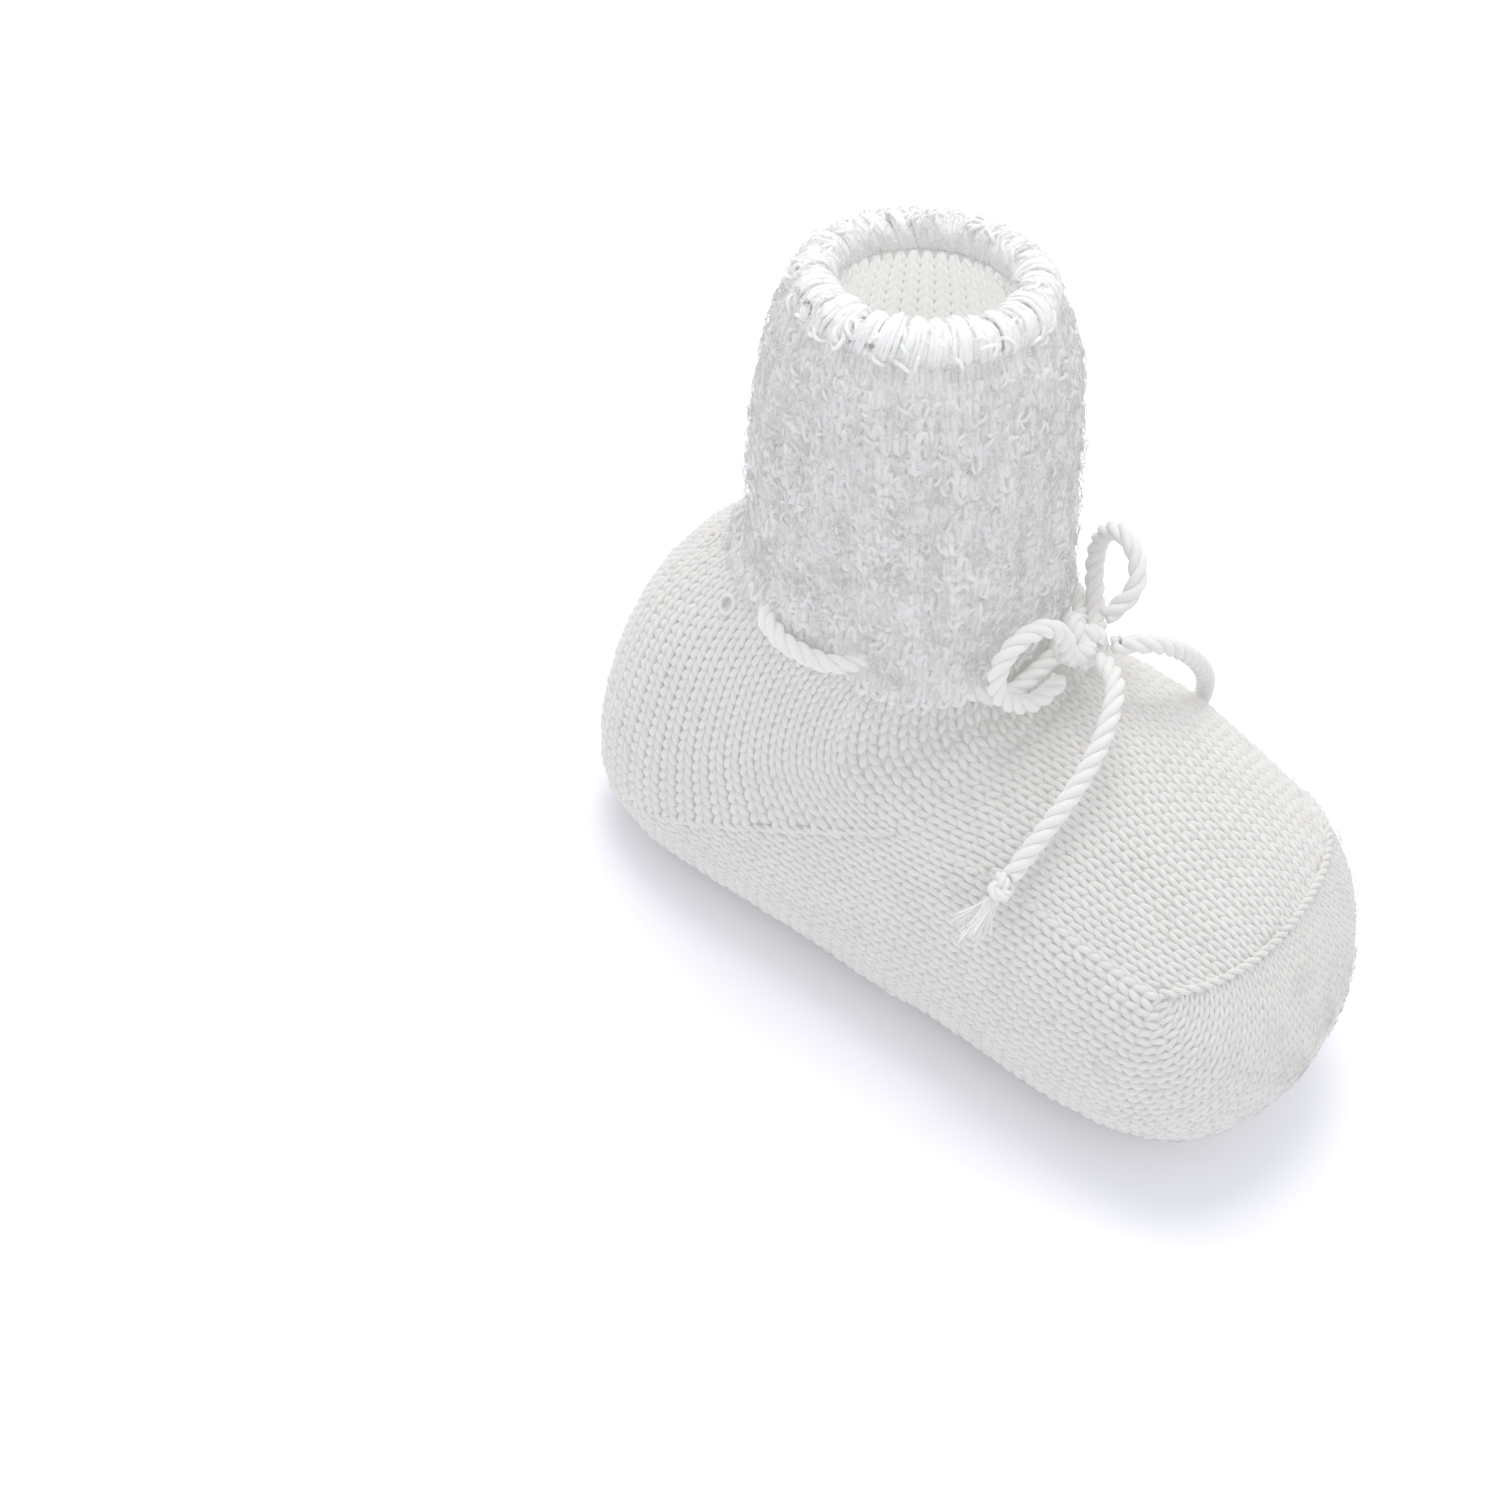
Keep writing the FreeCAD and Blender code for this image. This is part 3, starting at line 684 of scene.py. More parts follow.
def instep_wales():
    """Wales from the ankle over the crease to the toe seam, found by halving along each turn."""
    share = (np.arange(FRONT_WALES) + 0.5) / FRONT_WALES * 2 - 1
    rise = (TOE_SEAM_END[1] - TOE_PIVOT[1]) / (TOE_SEAM_END[0] - TOE_PIVOT[0])

    def above_seam(place):
        points = foot_surface(place, share * side_turn(place))
        return points[:, 2] > TOE_PIVOT[1] + (points[:, 0] - TOE_PIVOT[0]) * rise

    ends = halved(np.full(FRONT_WALES, 1.2), np.full(FRONT_WALES, 1.95), above_seam)
    places = ANKLE_PLACE + (ends[:, None] - ANKLE_PLACE) * np.linspace(0, 1, STEPS)
    return foot_surface(places, share[:, None] * side_turn(places)), places


gore = plane_section(HEEL_PIVOT, HEEL_GORE_END)
gore_points = even_fractions(gore, BACK_WALES)
waist_turns = np.linspace(-SIDE_TURN, SIDE_TURN - TURN, BACK_WALES)
toe_lines = toe_wales()
heel_lines = ruled_wales(foot_surface(ANKLE_PLACE, waist_turns), gore_points, ANKLE_PLACE, heel_pivot_place)
sole_lines = ruled_wales(gore_points, toe_lines[:, 0], heel_pivot_place, toe_pivot_place)
instep_lines, instep_places = instep_wales()
print("longest wales, mm:", [round(float(max(lengths_along(w)[-1] for w in lines)), 1)
                             for lines in (heel_lines, sole_lines, instep_lines, toe_lines)])

# %% [markdown]
# ## Stitches
#
# From its smooth side a knit stitch shows as a V: two legs of yarn that rise out of the stitch before and
# dive under the stitch after. One V is built as a template, in which across and along are measured in
# stitch widths and heights. It is then stamped on every stitch place, with small differences in lean and
# thickness, because hand and machine never pull each loop quite the same.

# %% Stamping stitches
LEG = np.array([(0.10, -0.66, -0.52), (0.14, -0.42, -0.05), (0.215, -0.10, 0.16), (0.29, 0.22, 0.15),
                (0.345, 0.50, -0.10), (0.36, 0.68, -0.52)])
YARN = 0.47                             # radius of the yarn on a stitch of usual width
USUAL_WIDTH = 2.2
LEAN, THICKNESS, LIFT, SLIP = 0.035, 0.05, 0.035, 0.03      # spreads of the stitches' differences
MOST_STITCHES = 700                     # in one piece
MARGIN = 0.2                            # part of a stitch that stays free at both ends of a wale


def stitch_shape():
    """Two mirrored legs: points in (widths, heights, mm), quads, triangles and uv."""
    scale = np.array([USUAL_WIDTH, STITCH_HEIGHT, 1.0])
    radii = YARN * np.array([0.72, 0.92, 1.0, 1.05, 1.05, 1.0, 0.92, 0.7])
    points, quads, tris, uv = tubes(even_path(LEG * scale, len(radii))[None], radii, 8, [1.0, 0.0, 0.0])
    other = points * np.array([-1.0, 1.0, 1.0])
    points = np.concatenate([points, other]) / scale
    quads = np.concatenate([quads, quads[:, ::-1] + len(other)])
    tris = np.concatenate([tris, tris[:, ::-1] + len(other)])
    return points, quads, tris, np.concatenate([uv, uv])


def stitch_places(lines, anchors, normals):
    """Middle, direction, normal and width of stitches at whole heights from each line's anchor."""
    along = unit(np.gradient(lines, axis=1))
    normals = unit(normals - along * (normals * along).sum(-1, keepdims=True))
    across = np.cross(along, normals)
    widths = np.abs((np.gradient(lines, axis=0) * across).sum(-1))[..., None]
    columns = np.concatenate([lines, along, normals, widths], -1)
    found = []
    for column, line, anchor in zip(columns, lines, anchors):
        run = lengths_along(line)
        lowest = math.ceil(MARGIN - anchor / STITCH_HEIGHT)
        highest = math.floor((run[-1] - anchor) / STITCH_HEIGHT - MARGIN)
        found.append(read_at(anchor + STITCH_HEIGHT * np.arange(lowest, highest + 1), run, column))
    return np.concatenate(found)


def stamp(places, shape, lift):
    """Copies of shape: middle + across * width * u + along * height * v + normal * n, with differences."""
    points, quads, tris, uv = shape
    count = len(places)
    middle, along, normal, width = np.split(places, [3, 6, 9], axis=1)
    lean = rng.normal(0, LEAN, (count, 1))
    across = np.cross(along, normal)
    along, across = along + across * lean, across - along * lean
    thick = np.clip(width / USUAL_WIDTH, 0.72, 1.25) * rng.normal(1.0, THICKNESS, (count, 1))
    middle = middle + normal * (lift + rng.normal(0, LIFT, (count, 1)))
    middle = middle + along * rng.normal(0, SLIP, (count, 1))
    sizes = np.stack([across * width, along * STITCH_HEIGHT, normal * thick], 1)
    made = middle[:, None] + points @ sizes
    faces = [repeat_faces(f, count, len(points)) for f in (quads, tris)]
    return made.reshape(-1, 3), *faces, np.tile(uv, (count, 1))


def knit(name, places, finish, slot, body, nodes, lift=0.0):
    """Stamps the stitches, in pieces of at most MOST_STITCHES; the first one stands for the nodes."""
    shape = stitch_shape()
    for k, part in enumerate(np.array_split(places, math.ceil(len(places) / MOST_STITCHES))):
        add_piece(f"{name}_{k + 1}", *stamp(part, shape, lift), finish, slot, body, nodes if k == 0 else ())


FABRIC_LIFT = -0.52                     # middle of the yarn below the skin
EYELET_TURNS = np.radians([18, 54, 90, 126, 162, -18, -54, -90, -126, -162])
EYELET_CLEAR = 1.0                      # no stitch stands nearer than this to an eyelet's middle
eyelets = foot_surface(ANKLE_PLACE + 0.03, np.pi - EYELET_TURNS)
runs = [lengths_along(line) for line in instep_lines]
under_crease = [float(np.interp(1.0, p, run)) for p, run in zip(instep_places, runs)]
sole_lengths = [lengths_along(line)[-1] for line in sole_lines]
at_start = np.full(BACK_WALES, STITCH_HEIGHT / 2)
patches = (
    ("heel_stitches", heel_lines, at_start, ["ankle_panel", "heel_back"]),
    ("sole_stitches", sole_lines, np.array(sole_lengths) - STITCH_HEIGHT / 2, ["heel_under", "sole_panel"]),
    ("instep_stitches", instep_lines, under_crease, ["instep_panel"]),
    ("toe_stitches", toe_lines, at_start, ["toe_under", "toe_top", "toe_gore_left", "toe_gore_right"]),
)
for name, lines, anchors, nodes in patches:
    places = stitch_places(lines, anchors, outward(lines))
    from_eyelets = np.linalg.norm(places[:, None, 0:3] - eyelets, axis=-1).min(1)
    places = places[from_eyelets > EYELET_CLEAR]
    print(name, len(places), "stitches, widths", np.round(np.percentile(places[:, 9], [2, 50, 98]), 2))
    knit(name, places, foot_yarn, "foot_knit", "foot", nodes, lift=FABRIC_LIFT)

# %% [markdown]
# ## The cuff's shape
#
# The cuff is a soft tube that leans back, widest at half height and drawn in at the rim. Below, it rolls
# out over the cord, most of all at the sides, where the cord runs inside. Heights and radii are measured
# from the tilted plane of the ankle.

# %% Cuff surface
HINGE = (-19.69, 56.86)
RIM = (-27.4, 88.8)
HINGE_HEIGHT = 6.6
ANKLE_TILT, CUFF_TILT = 6.0, 12.0
CUFF_LENGTH = math.hypot(RIM[0] - HINGE[0], RIM[1] - HINGE[1])
cuff_width = smooth_through([-0.26, -0.15, -0.05, 0, 0.2, 0.45, 0.7, 0.88, 1.0, 1.1],
                            [18.8, 18.3, 18.3, 18.4, 18.8, 18.9, 18.3, 17.1, 15.4, 14.2])
HEM = np.array([        # degrees either way from the front, height and radius of the cuff's lower edge
    (0, 1.8, 20.4), (16, 1.2, 20.6), (30, -0.4, 21.5), (38, -1.8, 22.4), (50, -2.6, 22.5),
    (63, -2.6, 22.3), (77, -2.1, 21.9), (86, -0.2, 21.2), (96, 0.9, 20.7), (108, 0.6, 21.0),
    (120, -0.2, 21.6), (150, 0.0, 22.4), (180, 0.2, 23.0)])
hem_height = smooth_through(np.radians(HEM[:, 0]), HEM[:, 1])
hem_radius = smooth_through(np.radians(HEM[:, 0]), HEM[:, 2])
TOP_RISE = 0.985
HEM_FADE = 4.5          # height in which the hem's width fades into the cuff's
LIP, LIP_FADE = 1.1, 0.8        # how far the hem's last bit turns in, and in what height


def ankle_point(turn, radius, rise):
    """Point of the ankle or cuff; rise is 0 at the bending axis and 1 at the rim, turn 0 is the front."""
    lean = np.radians(ANKLE_TILT + (CUFF_TILT - ANKLE_TILT) * np.clip(rise, 0, 1))
    low, high = np.minimum(rise, 0) * CUFF_LENGTH, np.maximum(rise, 0)
    base = math.radians(ANKLE_TILT)
    x = HINGE[0] - low * math.sin(base) + high * (RIM[0] - HINGE[0]) + radius * np.cos(turn) * np.cos(lean)
    z = HINGE[1] + low * math.cos(base) + high * (RIM[1] - HINGE[1]) + radius * np.cos(turn) * np.sin(lean)
    return np.stack(np.broadcast_arrays(x, radius * np.sin(turn), z), -1)


def cuff_surface(turn, share, inset=0.0):
    """Point of the cuff at a share of its height, from hem to rim, less an inset."""
    turn, share = np.broadcast_arrays(np.asarray(turn, float), np.asarray(share, float))
    away = np.abs((turn + math.pi) % TURN - math.pi)
    lowest = (hem_height(away) - HINGE_HEIGHT) / CUFF_LENGTH
    rise = lowest + (TOP_RISE - lowest) * share
    above = (rise - lowest) * CUFF_LENGTH
    radius = cuff_width(rise) + (hem_radius(away) - cuff_width(lowest)) * np.exp(-above / HEM_FADE)
    radius = radius - LIP * np.exp(-above / LIP_FADE)
    slack = np.sin(math.pi * np.clip(share, 0, 1))
    folds = 0.35 * np.sin(3 * turn + 1.1 + 5 * share) + 0.3 * np.sin(7 * turn + 2.0 - 4 * share)
    ribs = 0.25 * np.cos(22 * turn)
    return ankle_point(turn, radius + slack * (folds + ribs) - inset, rise)


def cuff_normals(turn, share):
    """Unit normals of the cuff, from its slopes round and up."""
    step = 0.004
    around = cuff_surface(turn + step, share) - cuff_surface(turn - step, share)
    upward = cuff_surface(turn, share + step) - cuff_surface(turn, share - step)
    return unit(np.cross(around, upward))


# %% [markdown]
# ## Lining, seams and eyelets
#
# Under the stitches lies a plain wall that has the fabric's thickness, so no light passes between them
# and the inside of the foot can be seen through the mouth. The linked seam over the toes stands up as a
# small two-ply ridge, and a thinner line marks where the heel's wales turn. Small rings of yarn edge the
# eyelets that the cord is threaded through.

# %% Lining, seams and eyelets
AROUND = 72                     # points of a lining ring
WALL_INSIDE, WALL_OUTSIDE = 1.9, 0.55   # how deep the lining's two faces lie below the skin


def foot_wall(inset):
    """Rings of the foot's skin from the ankle to near the toe tip, moved in by inset, off the floor."""
    places = 2 - np.linspace(math.sqrt(2 - ANKLE_PLACE), 0.12, 56)**2
    grid = foot_surface(places[:, None], np.arange(AROUND) * TURN / AROUND)
    grid = grid - outward(grid) * inset
    grid[..., 2] = np.maximum(grid[..., 2], inset * 0.5)
    return grid


def grid_uv(count, around):
    """The uv of count rings of points: u from ring to ring, v round each ring."""
    return np.stack(np.meshgrid(np.linspace(0, 1, count), np.arange(around) / around, indexing="ij"), -1)


def rolled_grid(name, rows, closed, slot, body, nodes):
    """Mesh over rows of rings: a roll whose last row meets its first, or a tube closed by two poles."""
    count, around = rows.shape[:2]
    points, uv = rows.reshape(-1, 3), grid_uv(count, around).reshape(-1, 2)
    if closed:
        quads, tris = roll_faces(count, around), np.zeros((0, 3), int)
    else:
        quads, tris = tube_faces(count, around)
        points = np.concatenate([points, rows[:1].mean(1), rows[-1:].mean(1)])
        uv = np.concatenate([uv, [[0.0, 0.5], [1.0, 0.5]]])
    add_piece(name, points, quads, tris, uv, lining_yarn, slot, body, nodes)


def closed_tubes(paths, radius, sides, normals):
    """Tubes round n closed paths of k points with the given normals: points, quads, no triangles, uv."""
    n, k = paths.shape[:2]
    along = np.roll(paths, -1, 1) - np.roll(paths, 1, 1)
    points = ring_points(paths, along, normals, radius, sides).reshape(-1, 3)
    uv = np.tile(grid_uv(k, sides).reshape(-1, 2), (n, 1))
    return points, repeat_faces(roll_faces(k, sides), n, k * sides), [], uv


def collar(inset, low_radius):
    """Rings from the ankle's opening in to the waist and up inside the cuff; height is from the waist."""
    turn = np.arange(AROUND) * TURN / AROUND
    rings = [ankle_point(turn, radius - inset, (height - HINGE_HEIGHT) / CUFF_LENGTH)
             for radius, height in ((low_radius, 1.4), (17.2, 2.6), (16.3, 5.0), (16.0, 7.5), (15.6, 10.0))]
    return np.stack(rings)


walls = np.concatenate([foot_wall(WALL_INSIDE)[::-1], collar(1.2, 18.0), collar(0.0, 18.6)[::-1],
                        foot_wall(WALL_OUTSIDE)])
rolled_grid("foot_lining", walls, False, "foot_knit", "foot", ["eyelet_band"])


TWO_PLY = {"plies": 2, "plump": 1.1, "sides": 6}
RIDGE_SUNK = 0.2                # middle of a ridge below the skin


def ridge(name, pivot, aim, diameter, nodes):
    """Two plies twisted along the line where the half plane from pivot towards aim cuts the skin."""
    path = plane_section(pivot, aim)
    square_to_plane = unit(np.array([pivot[1] - aim[1], 0.0, aim[0] - pivot[0]]))
    plied_line(name, path - outward(path) * RIDGE_SUNK, diameter, square_to_plane, "foot", nodes, lay=3.0,
               finish=foot_yarn, slot="seam_knit", **TWO_PLY)


ridge("toe_seam_ridge", TOE_PIVOT, TOE_SEAM_END, 1.25, ["toe_seam"])
ridge("heel_line_ridge", HEEL_PIVOT, HEEL_GORE_END, 1.1, ["heel_gore_left", "heel_gore_right"])

EYELET_RING, EYELET_YARN = 1.15, 0.3    # radii of an eyelet's ring and of its yarn
normals = outward(eyelets)[:, None]
level = unit(np.cross(normals, [0.0, 0.0, 1.0]))
ring_turns = (np.arange(20) * TURN / 20)[:, None]
circles = np.cos(ring_turns) * level + np.sin(ring_turns) * np.cross(level, normals)
circles = eyelets[:, None] + EYELET_RING * circles
add_piece("eyelet_rings", *closed_tubes(circles, EYELET_YARN, 6, normals), foot_yarn, "foot_knit", "foot")

# %% [markdown]
# ## The cuff's fabric
#
# The cuff shows the reverse of the knitting. There the yarn runs round in courses of interlocked arcs,
# each a wave that swings up and down once per stitch and bows out where it turns. One closed tube is made
# for every course. Its wave is stretched and thickened at random, so it looks brushed and uneven.

# %% Reverse stitches of the cuff
CUFF_WALES, COURSES, PER_STITCH = 66, 24, 9
CUFF_YARN = 0.47                # usual radius of the cuff's yarn
samples = CUFF_WALES * PER_STITCH


def soft_noise(count, spread, width):
    """Closed random wave: normal values averaged over width neighbours."""
    values = rng.normal(0, 1, count)
    weights = np.hanning(width + 2)[1:-1]
    padded = np.concatenate([values[-width:], values, values[:width]])
    return np.convolve(padded, weights / np.linalg.norm(weights), "same")[width:-width] * spread


paths, radii, facing = [], [], []
phase = np.arange(samples) * TURN / PER_STITCH
for course in range(COURSES):
    turn = np.arange(samples) * TURN / samples
    turn = turn + (0.10 * np.sin(2 * phase) + soft_noise(samples, 0.12, 9)) * TURN / CUFF_WALES
    swing = 0.86 + soft_noise(samples, 0.10, 9)
    share = (course + 0.6 - swing * np.cos(phase)) / COURSES
    height = 0.12 * np.cos(2 * phase) + soft_noise(samples, 0.13, 7)
    share = np.clip(share, 0.0, 1.02)
    normals = cuff_normals(turn, share)
    paths.append(cuff_surface(turn, share) + normals * (height - 0.15)[:, None])
    radii.append(np.clip(CUFF_YARN * (1 + soft_noise(samples, 0.13, 5)), 0.28, 0.62))
    facing.append(normals)
courses = closed_tubes(np.stack(paths), radii, 5, np.stack(facing))
add_piece("cuff_stitches", *courses, cuff_yarn, "cuff_knit", "ankle", ["cuff_tube"])

around = np.arange(120) * TURN / 120
outside = cuff_surface(around, np.linspace(0, 1, 44)[:, None], 0.2)
inner_width = smooth_through([-0.2, 0.0, 0.4, 0.6, 0.8, 0.9, 1.0],
                             [15.6, 16.0, 15.8, 15.2, 13.6, 12.3, 11.0])
inside_rises = np.linspace(TOP_RISE, -0.1, 40)[:, None]
inside = ankle_point(around, inner_width(inside_rises), inside_rises)
rolled_grid("cuff_lining", np.concatenate([outside, inside]), True, "cuff_knit", "ankle", [])

# %% [markdown]
# ## Inside of the cuff
#
# The smooth side of the cuff's knitting faces inward. Through the mouth it shows as upright columns of
# Vs, so the same stitch is stamped on the inner wall, facing the middle.

# %% Inner stitches
INNER_WALES = 44
inner_turns = np.arange(-1, INNER_WALES + 1)[:, None] * TURN / INNER_WALES      # one more line at each end
line_rises = np.linspace(0.99, 0.35, 60)
inner_lines = ankle_point(inner_turns, inner_width(line_rises) - 0.3, line_rises)
inward = unit(ankle_point(inner_turns, 0.0, line_rises) - inner_lines)
places = stitch_places(inner_lines, np.zeros(len(inner_lines)), inward)
# The inside stitches wear the lighter, glowing yarn: painted light for the light falling into the mouth.
knit("cuff_inside_stitches", places, painted_light_inner_yarn, "cuff_knit", "cuff", [])

# %% [markdown]
# ## The rim
#
# The rim is bound off loosely, so its stitches stand up as a row of puffy beads. Each bead is a bundle of
# strands that come out of the mouth, arch over the edge and end on the outside. The strands in the middle
# of a bead arch highest.

# %% Rim
BEADS, STRANDS = 31, 6
RIM_RING = 12.9                 # radius of the ring that the strands arch round
ROLL, RIM_YARN = 1.9, 0.36      # radii of the rim's roll between beads and of its yarn
THIN_SIDE = math.radians(103)   # the turn at which the rim is thinnest
THINNING, SHIFT = 0.16, 0.5     # how much thinner the roll is there, and how much farther out it lies


def rim_places(turn, arch, radius, lift):
    """Points on a ring of the given radius round the rim's, and their directions from its middle."""
    lifted = 1.0 + (lift + radius * np.sin(arch)) / CUFF_LENGTH
    points = ankle_point(turn, RIM_RING - radius * np.cos(arch), lifted)
    return points, unit(points - ankle_point(turn, RIM_RING, 1.0 + lift / CUFF_LENGTH))


bead = np.repeat(np.arange(BEADS), STRANDS)
offset = np.tile((np.arange(STRANDS) + 0.5) / STRANDS * 2 - 1, BEADS) + rng.normal(0, 0.06, BEADS * STRANDS)
arch = np.radians(np.linspace(-50, 235, 18))[None]
size = rng.uniform(0.7, 1.25, BEADS)[bead][:, None]
puff = np.sqrt(np.clip(1 - offset**2, 0.02, 1))[:, None] * size
slant = rng.normal(0.25, 0.12, BEADS)[bead][:, None]
turn = bead[:, None] + 0.5 * offset[:, None] * (1 - 0.12 * np.cos(arch)) + slant * np.sin(arch)
turn = turn * TURN / BEADS
roll = ROLL + puff * (0.65 + 0.35 * np.sin(arch)) + rng.normal(0, 0.08, turn.shape)
roll = roll * (1 - THINNING * np.cos(turn - THIN_SIDE))
radial = RIM_RING + SHIFT * np.cos(turn - THIN_SIDE) - roll * np.cos(arch)
lifted = 1.0 + (0.55 * puff + 0.25 + roll * np.sin(arch)) / CUFF_LENGTH
strands = tubes(ankle_point(turn, radial, lifted), RIM_YARN, 6, [0.2, 0.3, 0.93])
add_piece("rim_beads", *strands, rim_yarn, "cuff_knit", "cuff", ["cuff_edging"])

# %% [markdown]
# ## Curls
#
# Where the yarn was looped loosely it stands up in small curls, many along the rim and a few over the
# cuff. A curl is two thirds of a circle of yarn that stands on the surface, leaning and turned at random.

# %% Curls
def flat_directions(normals):
    """A random direction at right angles to each normal, and the one across it."""
    run = unit(np.cross(normals, rng.normal(0, 1, normals.shape)))
    return run, np.cross(normals, run)


def curls(name, starts, normals, sizes, yarn, finish, body):
    """Arcs of yarn: start + size * (cos a * run + sin a * normal), with a sideways drift along the arc."""
    count = len(starts)
    run, aside = flat_directions(normals)
    lean = normals + aside * rng.normal(0, 0.5, (count, 1))
    sweep = np.radians(np.linspace(-45, 225, 11))[None, :, None]
    drift = rng.normal(0, 0.5, (count, 1, 1)) * sweep / math.pi
    paths = starts[:, None] + sizes[:, None, None] * (
        np.cos(sweep) * run[:, None] + (np.sin(sweep) - 0.1) * 0.8 * lean[:, None] + drift * aside[:, None])
    add_piece(name, *tubes(paths, yarn, 6, aside + 0.1 * run), finish, "cuff_knit", body)


RIM_CURLS, CUFF_CURLS = 150, 260
turn_at = rng.uniform(0, TURN, RIM_CURLS)
starts, facing = rim_places(turn_at, np.radians(rng.uniform(60, 190, RIM_CURLS)), 2.4, 0.5)
curls("rim_curls", starts, facing, rng.uniform(0.7, 1.25, RIM_CURLS), 0.27, rim_yarn, "cuff")
turn_at = rng.uniform(0, TURN, CUFF_CURLS)
share_at = rng.uniform(0.03, 0.97, CUFF_CURLS)
facing = cuff_normals(turn_at, share_at)
starts = cuff_surface(turn_at, share_at) + facing * 0.15
curls("cuff_curls", starts, facing, rng.uniform(0.5, 0.9, CUFF_CURLS), 0.24, cuff_yarn, "ankle")

# %% [markdown]
# ## Back seam of the cuff
#
# The cuff is closed at the back with a two-ply line of linking, which follows its folds.

# %% Back seam
share = np.linspace(0.02, 0.98, 60)
back = cuff_surface(math.pi, share) + cuff_normals(math.pi, share) * 0.25
plied_line("cuff_back_line", back, 1.5, [0.0, 1.0, 0.0], "ankle", ["cuff_back_seam"], lay=2.6,
           finish=cuff_yarn, slot="cuff_knit", **TWO_PLY)

# %% [markdown]
# ## The cord round the ankle
#
# The cord lies on the shoulder of the foot. It shows at the heel and beside the knot, and dips under the
# cuff between them, where it passes through the eyelets.

# %% Cord round the ankle
CORD_RING = np.array([      # degrees either way from the front, radius and height of the cord's middle
    (0, 22.4, 0.9), (8, 21.9, 0.3), (16, 21.6, -0.8), (28, 22.0, -1.9), (36, 21.2, -1.6),
    (48, 18.6, 0.4), (70, 18.4, 1.0), (80, 19.4, 0.9), (89, 21.5, 0.6), (104, 21.8, 0.5),
    (112, 21.2, 0.7), (124, 18.6, 1.4), (180, 18.6, 1.6)])
cord_radius = smooth_through(np.radians(CORD_RING[:, 0]), CORD_RING[:, 1])
cord_height = smooth_through(np.radians(CORD_RING[:, 0]), CORD_RING[:, 2])
turn = np.linspace(math.radians(4), TURN - math.radians(4), 240)
away = np.minimum(turn, TURN - turn)
path = ankle_point(turn, cord_radius(away), (cord_height(away) - HINGE_HEIGHT) / CUFF_LENGTH)
near_skin = on_surface(path)
normals = outward(near_skin)
gap = ((path - near_skin) * normals).sum(-1)
in_sight = np.clip((cord_radius(away) - 19.0) / 2, 0, 1)
path = path + normals * (np.clip(CORD / 2 - gap, 0, CORD) * in_sight)[:, None]
plied_line("drawcord_round_ankle", path, CORD, [0.1, 0.0, 0.995], "foot", ["drawcord_run"])

# %% [markdown]
# ## Loose fibres
#
# Brushed yarn carries a haze of fine fibres. They are thin curved strands with three sides, thick on the
# cuff and thin on the foot. Each leaves the surface at a low angle and curls back.

# %% Fibres
def fibres(name, starts, normals, lengths, stand, radius, finish, slot, body):
    """Curved hairs: along a random direction on the surface, lifted by an arc and bent sideways."""
    count = len(starts)
    run, aside = flat_directions(normals)
    way = np.linspace(0, 1, 5)[None, :, None]
    length = lengths[:, None, None]
    bend = rng.normal(0, 0.35, (count, 1, 1))
    lift = (stand * rng.uniform(0.3, 1.0, count))[:, None, None]
    paths = (starts[:, None] + run[:, None] * way * length
             + aside[:, None] * np.sin(way * math.pi) * bend * length
             + normals[:, None] * (np.sin(way * 2.6) * lift))
    add_piece(name, *tubes(paths, radius, 3, normals + 0.3 * run + 0.2 * aside), finish, slot, body)


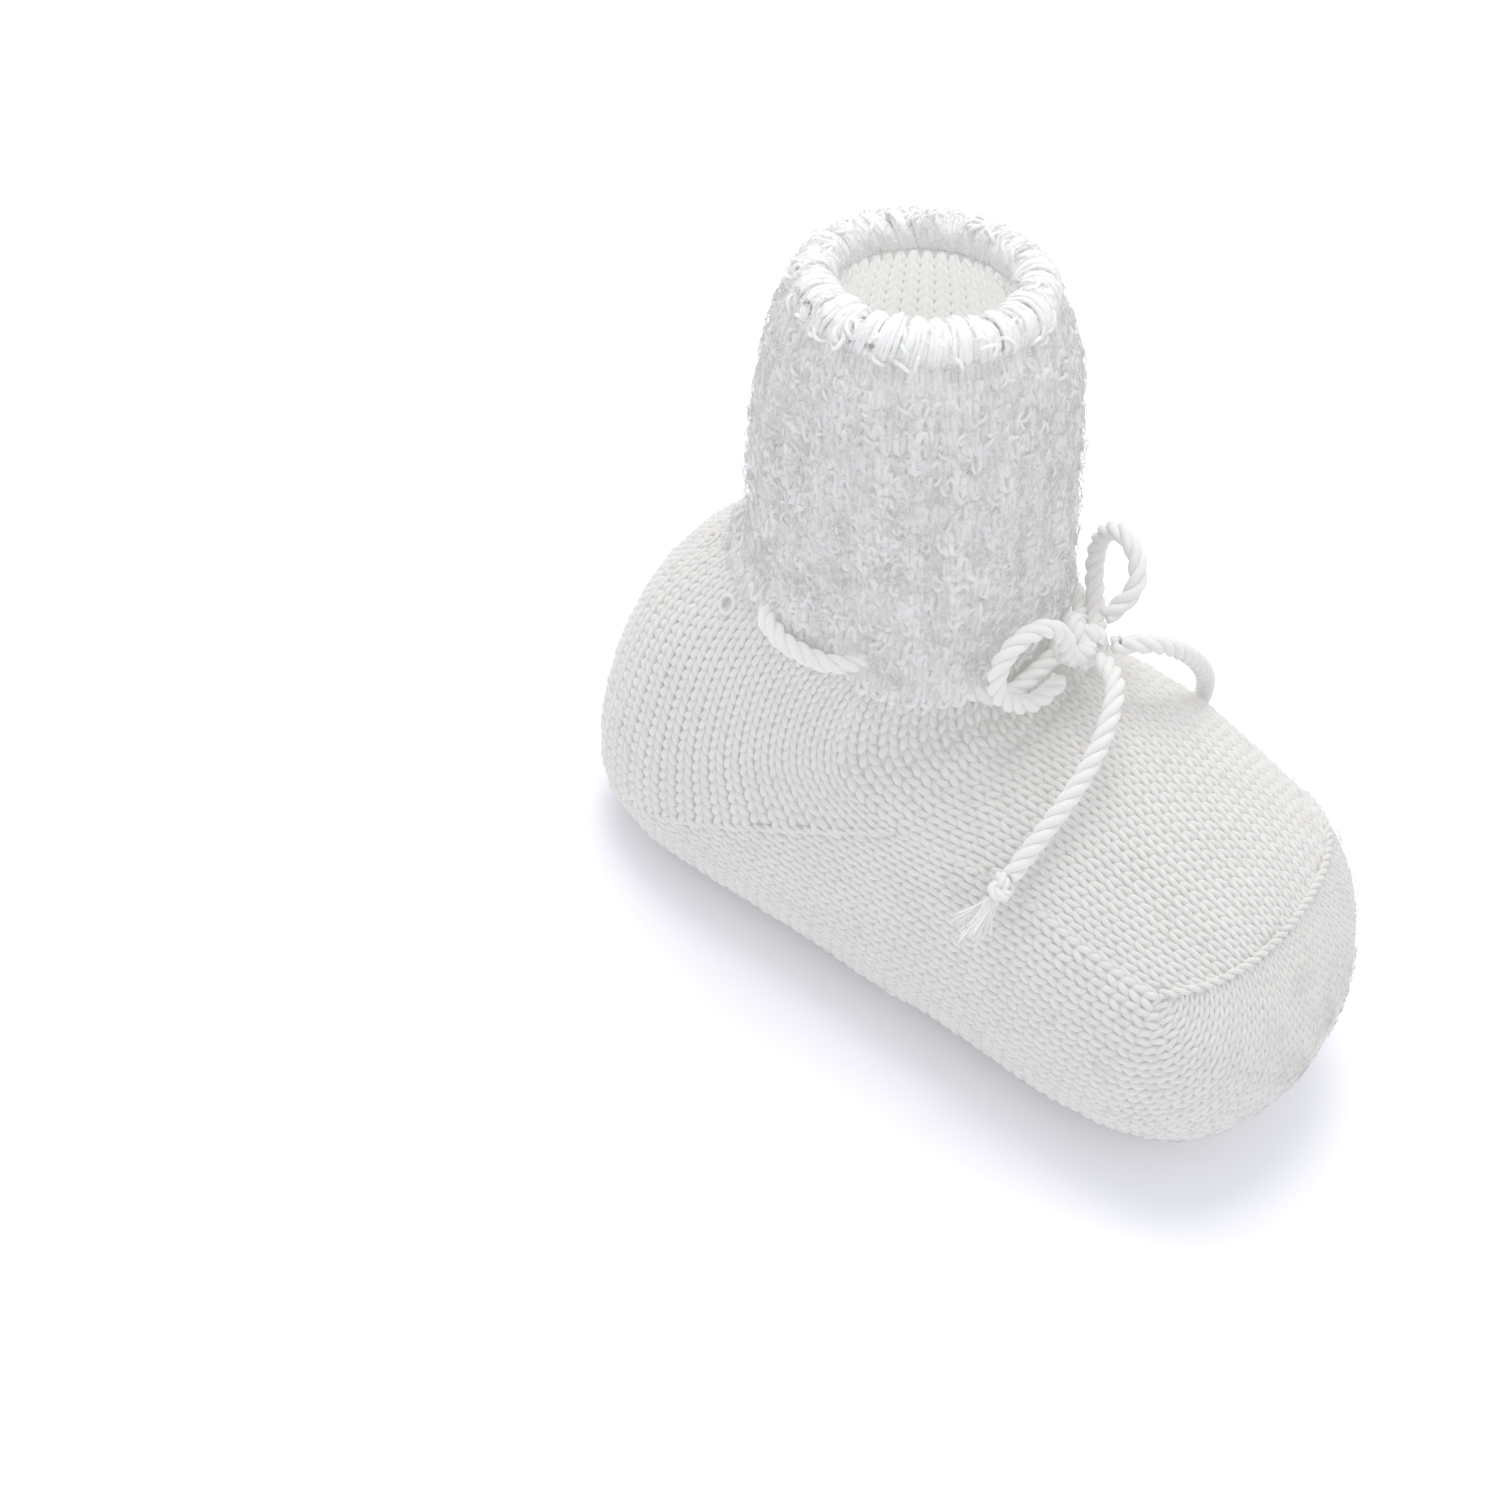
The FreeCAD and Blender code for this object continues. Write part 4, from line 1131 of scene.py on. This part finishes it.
CUFF_FIBRES, RIM_FIBRES, FOOT_FIBRES = ((6500, 1500, 2200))
turn = rng.uniform(0, TURN, CUFF_FIBRES)
share = rng.uniform(0.0, 1.0, CUFF_FIBRES)
normals = cuff_normals(turn, share)
starts = cuff_surface(turn, share) + normals * 0.25
fibres("cuff_fibres", starts, normals, rng.uniform(1.0, 3.2, CUFF_FIBRES), 0.7, 0.045, cuff_yarn,
       "cuff_knit", "ankle")
turn = rng.uniform(0, TURN, RIM_FIBRES)
starts, normals = rim_places(turn, rng.uniform(-0.3, 3.6, RIM_FIBRES), 2.7, 0.6)
fibres("rim_fibres", starts, normals, rng.uniform(0.8, 2.4, RIM_FIBRES), 0.6, 0.04, rim_yarn,
       "cuff_knit", "cuff")
place = 2 - rng.uniform(0.3, math.sqrt(2 - ANKLE_PLACE), FOOT_FIBRES)**2
starts = foot_surface(place, rng.uniform(0, TURN, FOOT_FIBRES))
normals = outward(starts)
fibres("foot_fibres", starts + normals * 0.1, normals, rng.uniform(0.6, 1.8, FOOT_FIBRES), 0.3, 0.03,
       foot_yarn, "foot_knit", "foot")

# %% [markdown]
# ## Floor and light
#
# The bootie stands on a plain pale floor, in the even light of a white studio. A large soft light above
# and behind it gives the faint shading that lets white yarn be read against white.

# %% Floor and light
bpy.ops.mesh.primitive_plane_add(size=20.0, location=(0, 0, 0))
floor = bpy.context.object
floor.name = "floor"
paint = Recipe("floor_paint")
paint.finish({"Base Color": (0.965, 0.965, 1.0, 1.0), "Roughness": 0.9, "Specular IOR Level": 0.1,
              "Emission Color": (0.96, 0.96, 1.0, 1.0), "Emission Strength": 0.05})
floor.data.materials.append(paint.material)

world = bpy.data.worlds.new("studio")
world.use_nodes = True
world.node_tree.nodes["Background"].inputs["Color"].default_value = (0.94, 0.945, 1.0, 1.0)
world.node_tree.nodes["Background"].inputs["Strength"].default_value = 0.80
bpy.context.scene.world = world


def soft_light(name, place, size, power, colour):
    """Square area light that faces the middle of the bootie."""
    data = bpy.data.lights.new(name, "AREA")
    data.size = size
    data.energy = power
    data.color = colour
    light = bpy.data.objects.new(name, data)
    light.location = place
    light.rotation_euler = (Vector((0, 0, 0.04)) - Vector(place)).to_track_quat("-Z", "Y").to_euler()
    bpy.context.scene.collection.objects.link(light)


soft_light("key", (-0.22, 0.12, 0.75), 0.45, 2.9, (1.0, 0.985, 0.95))
soft_light("fill", (0.5, -0.5, 0.5), 0.6, 0.6, (1.0, 0.99, 0.97))
bpy.context.scene.view_settings.view_transform = "Standard"
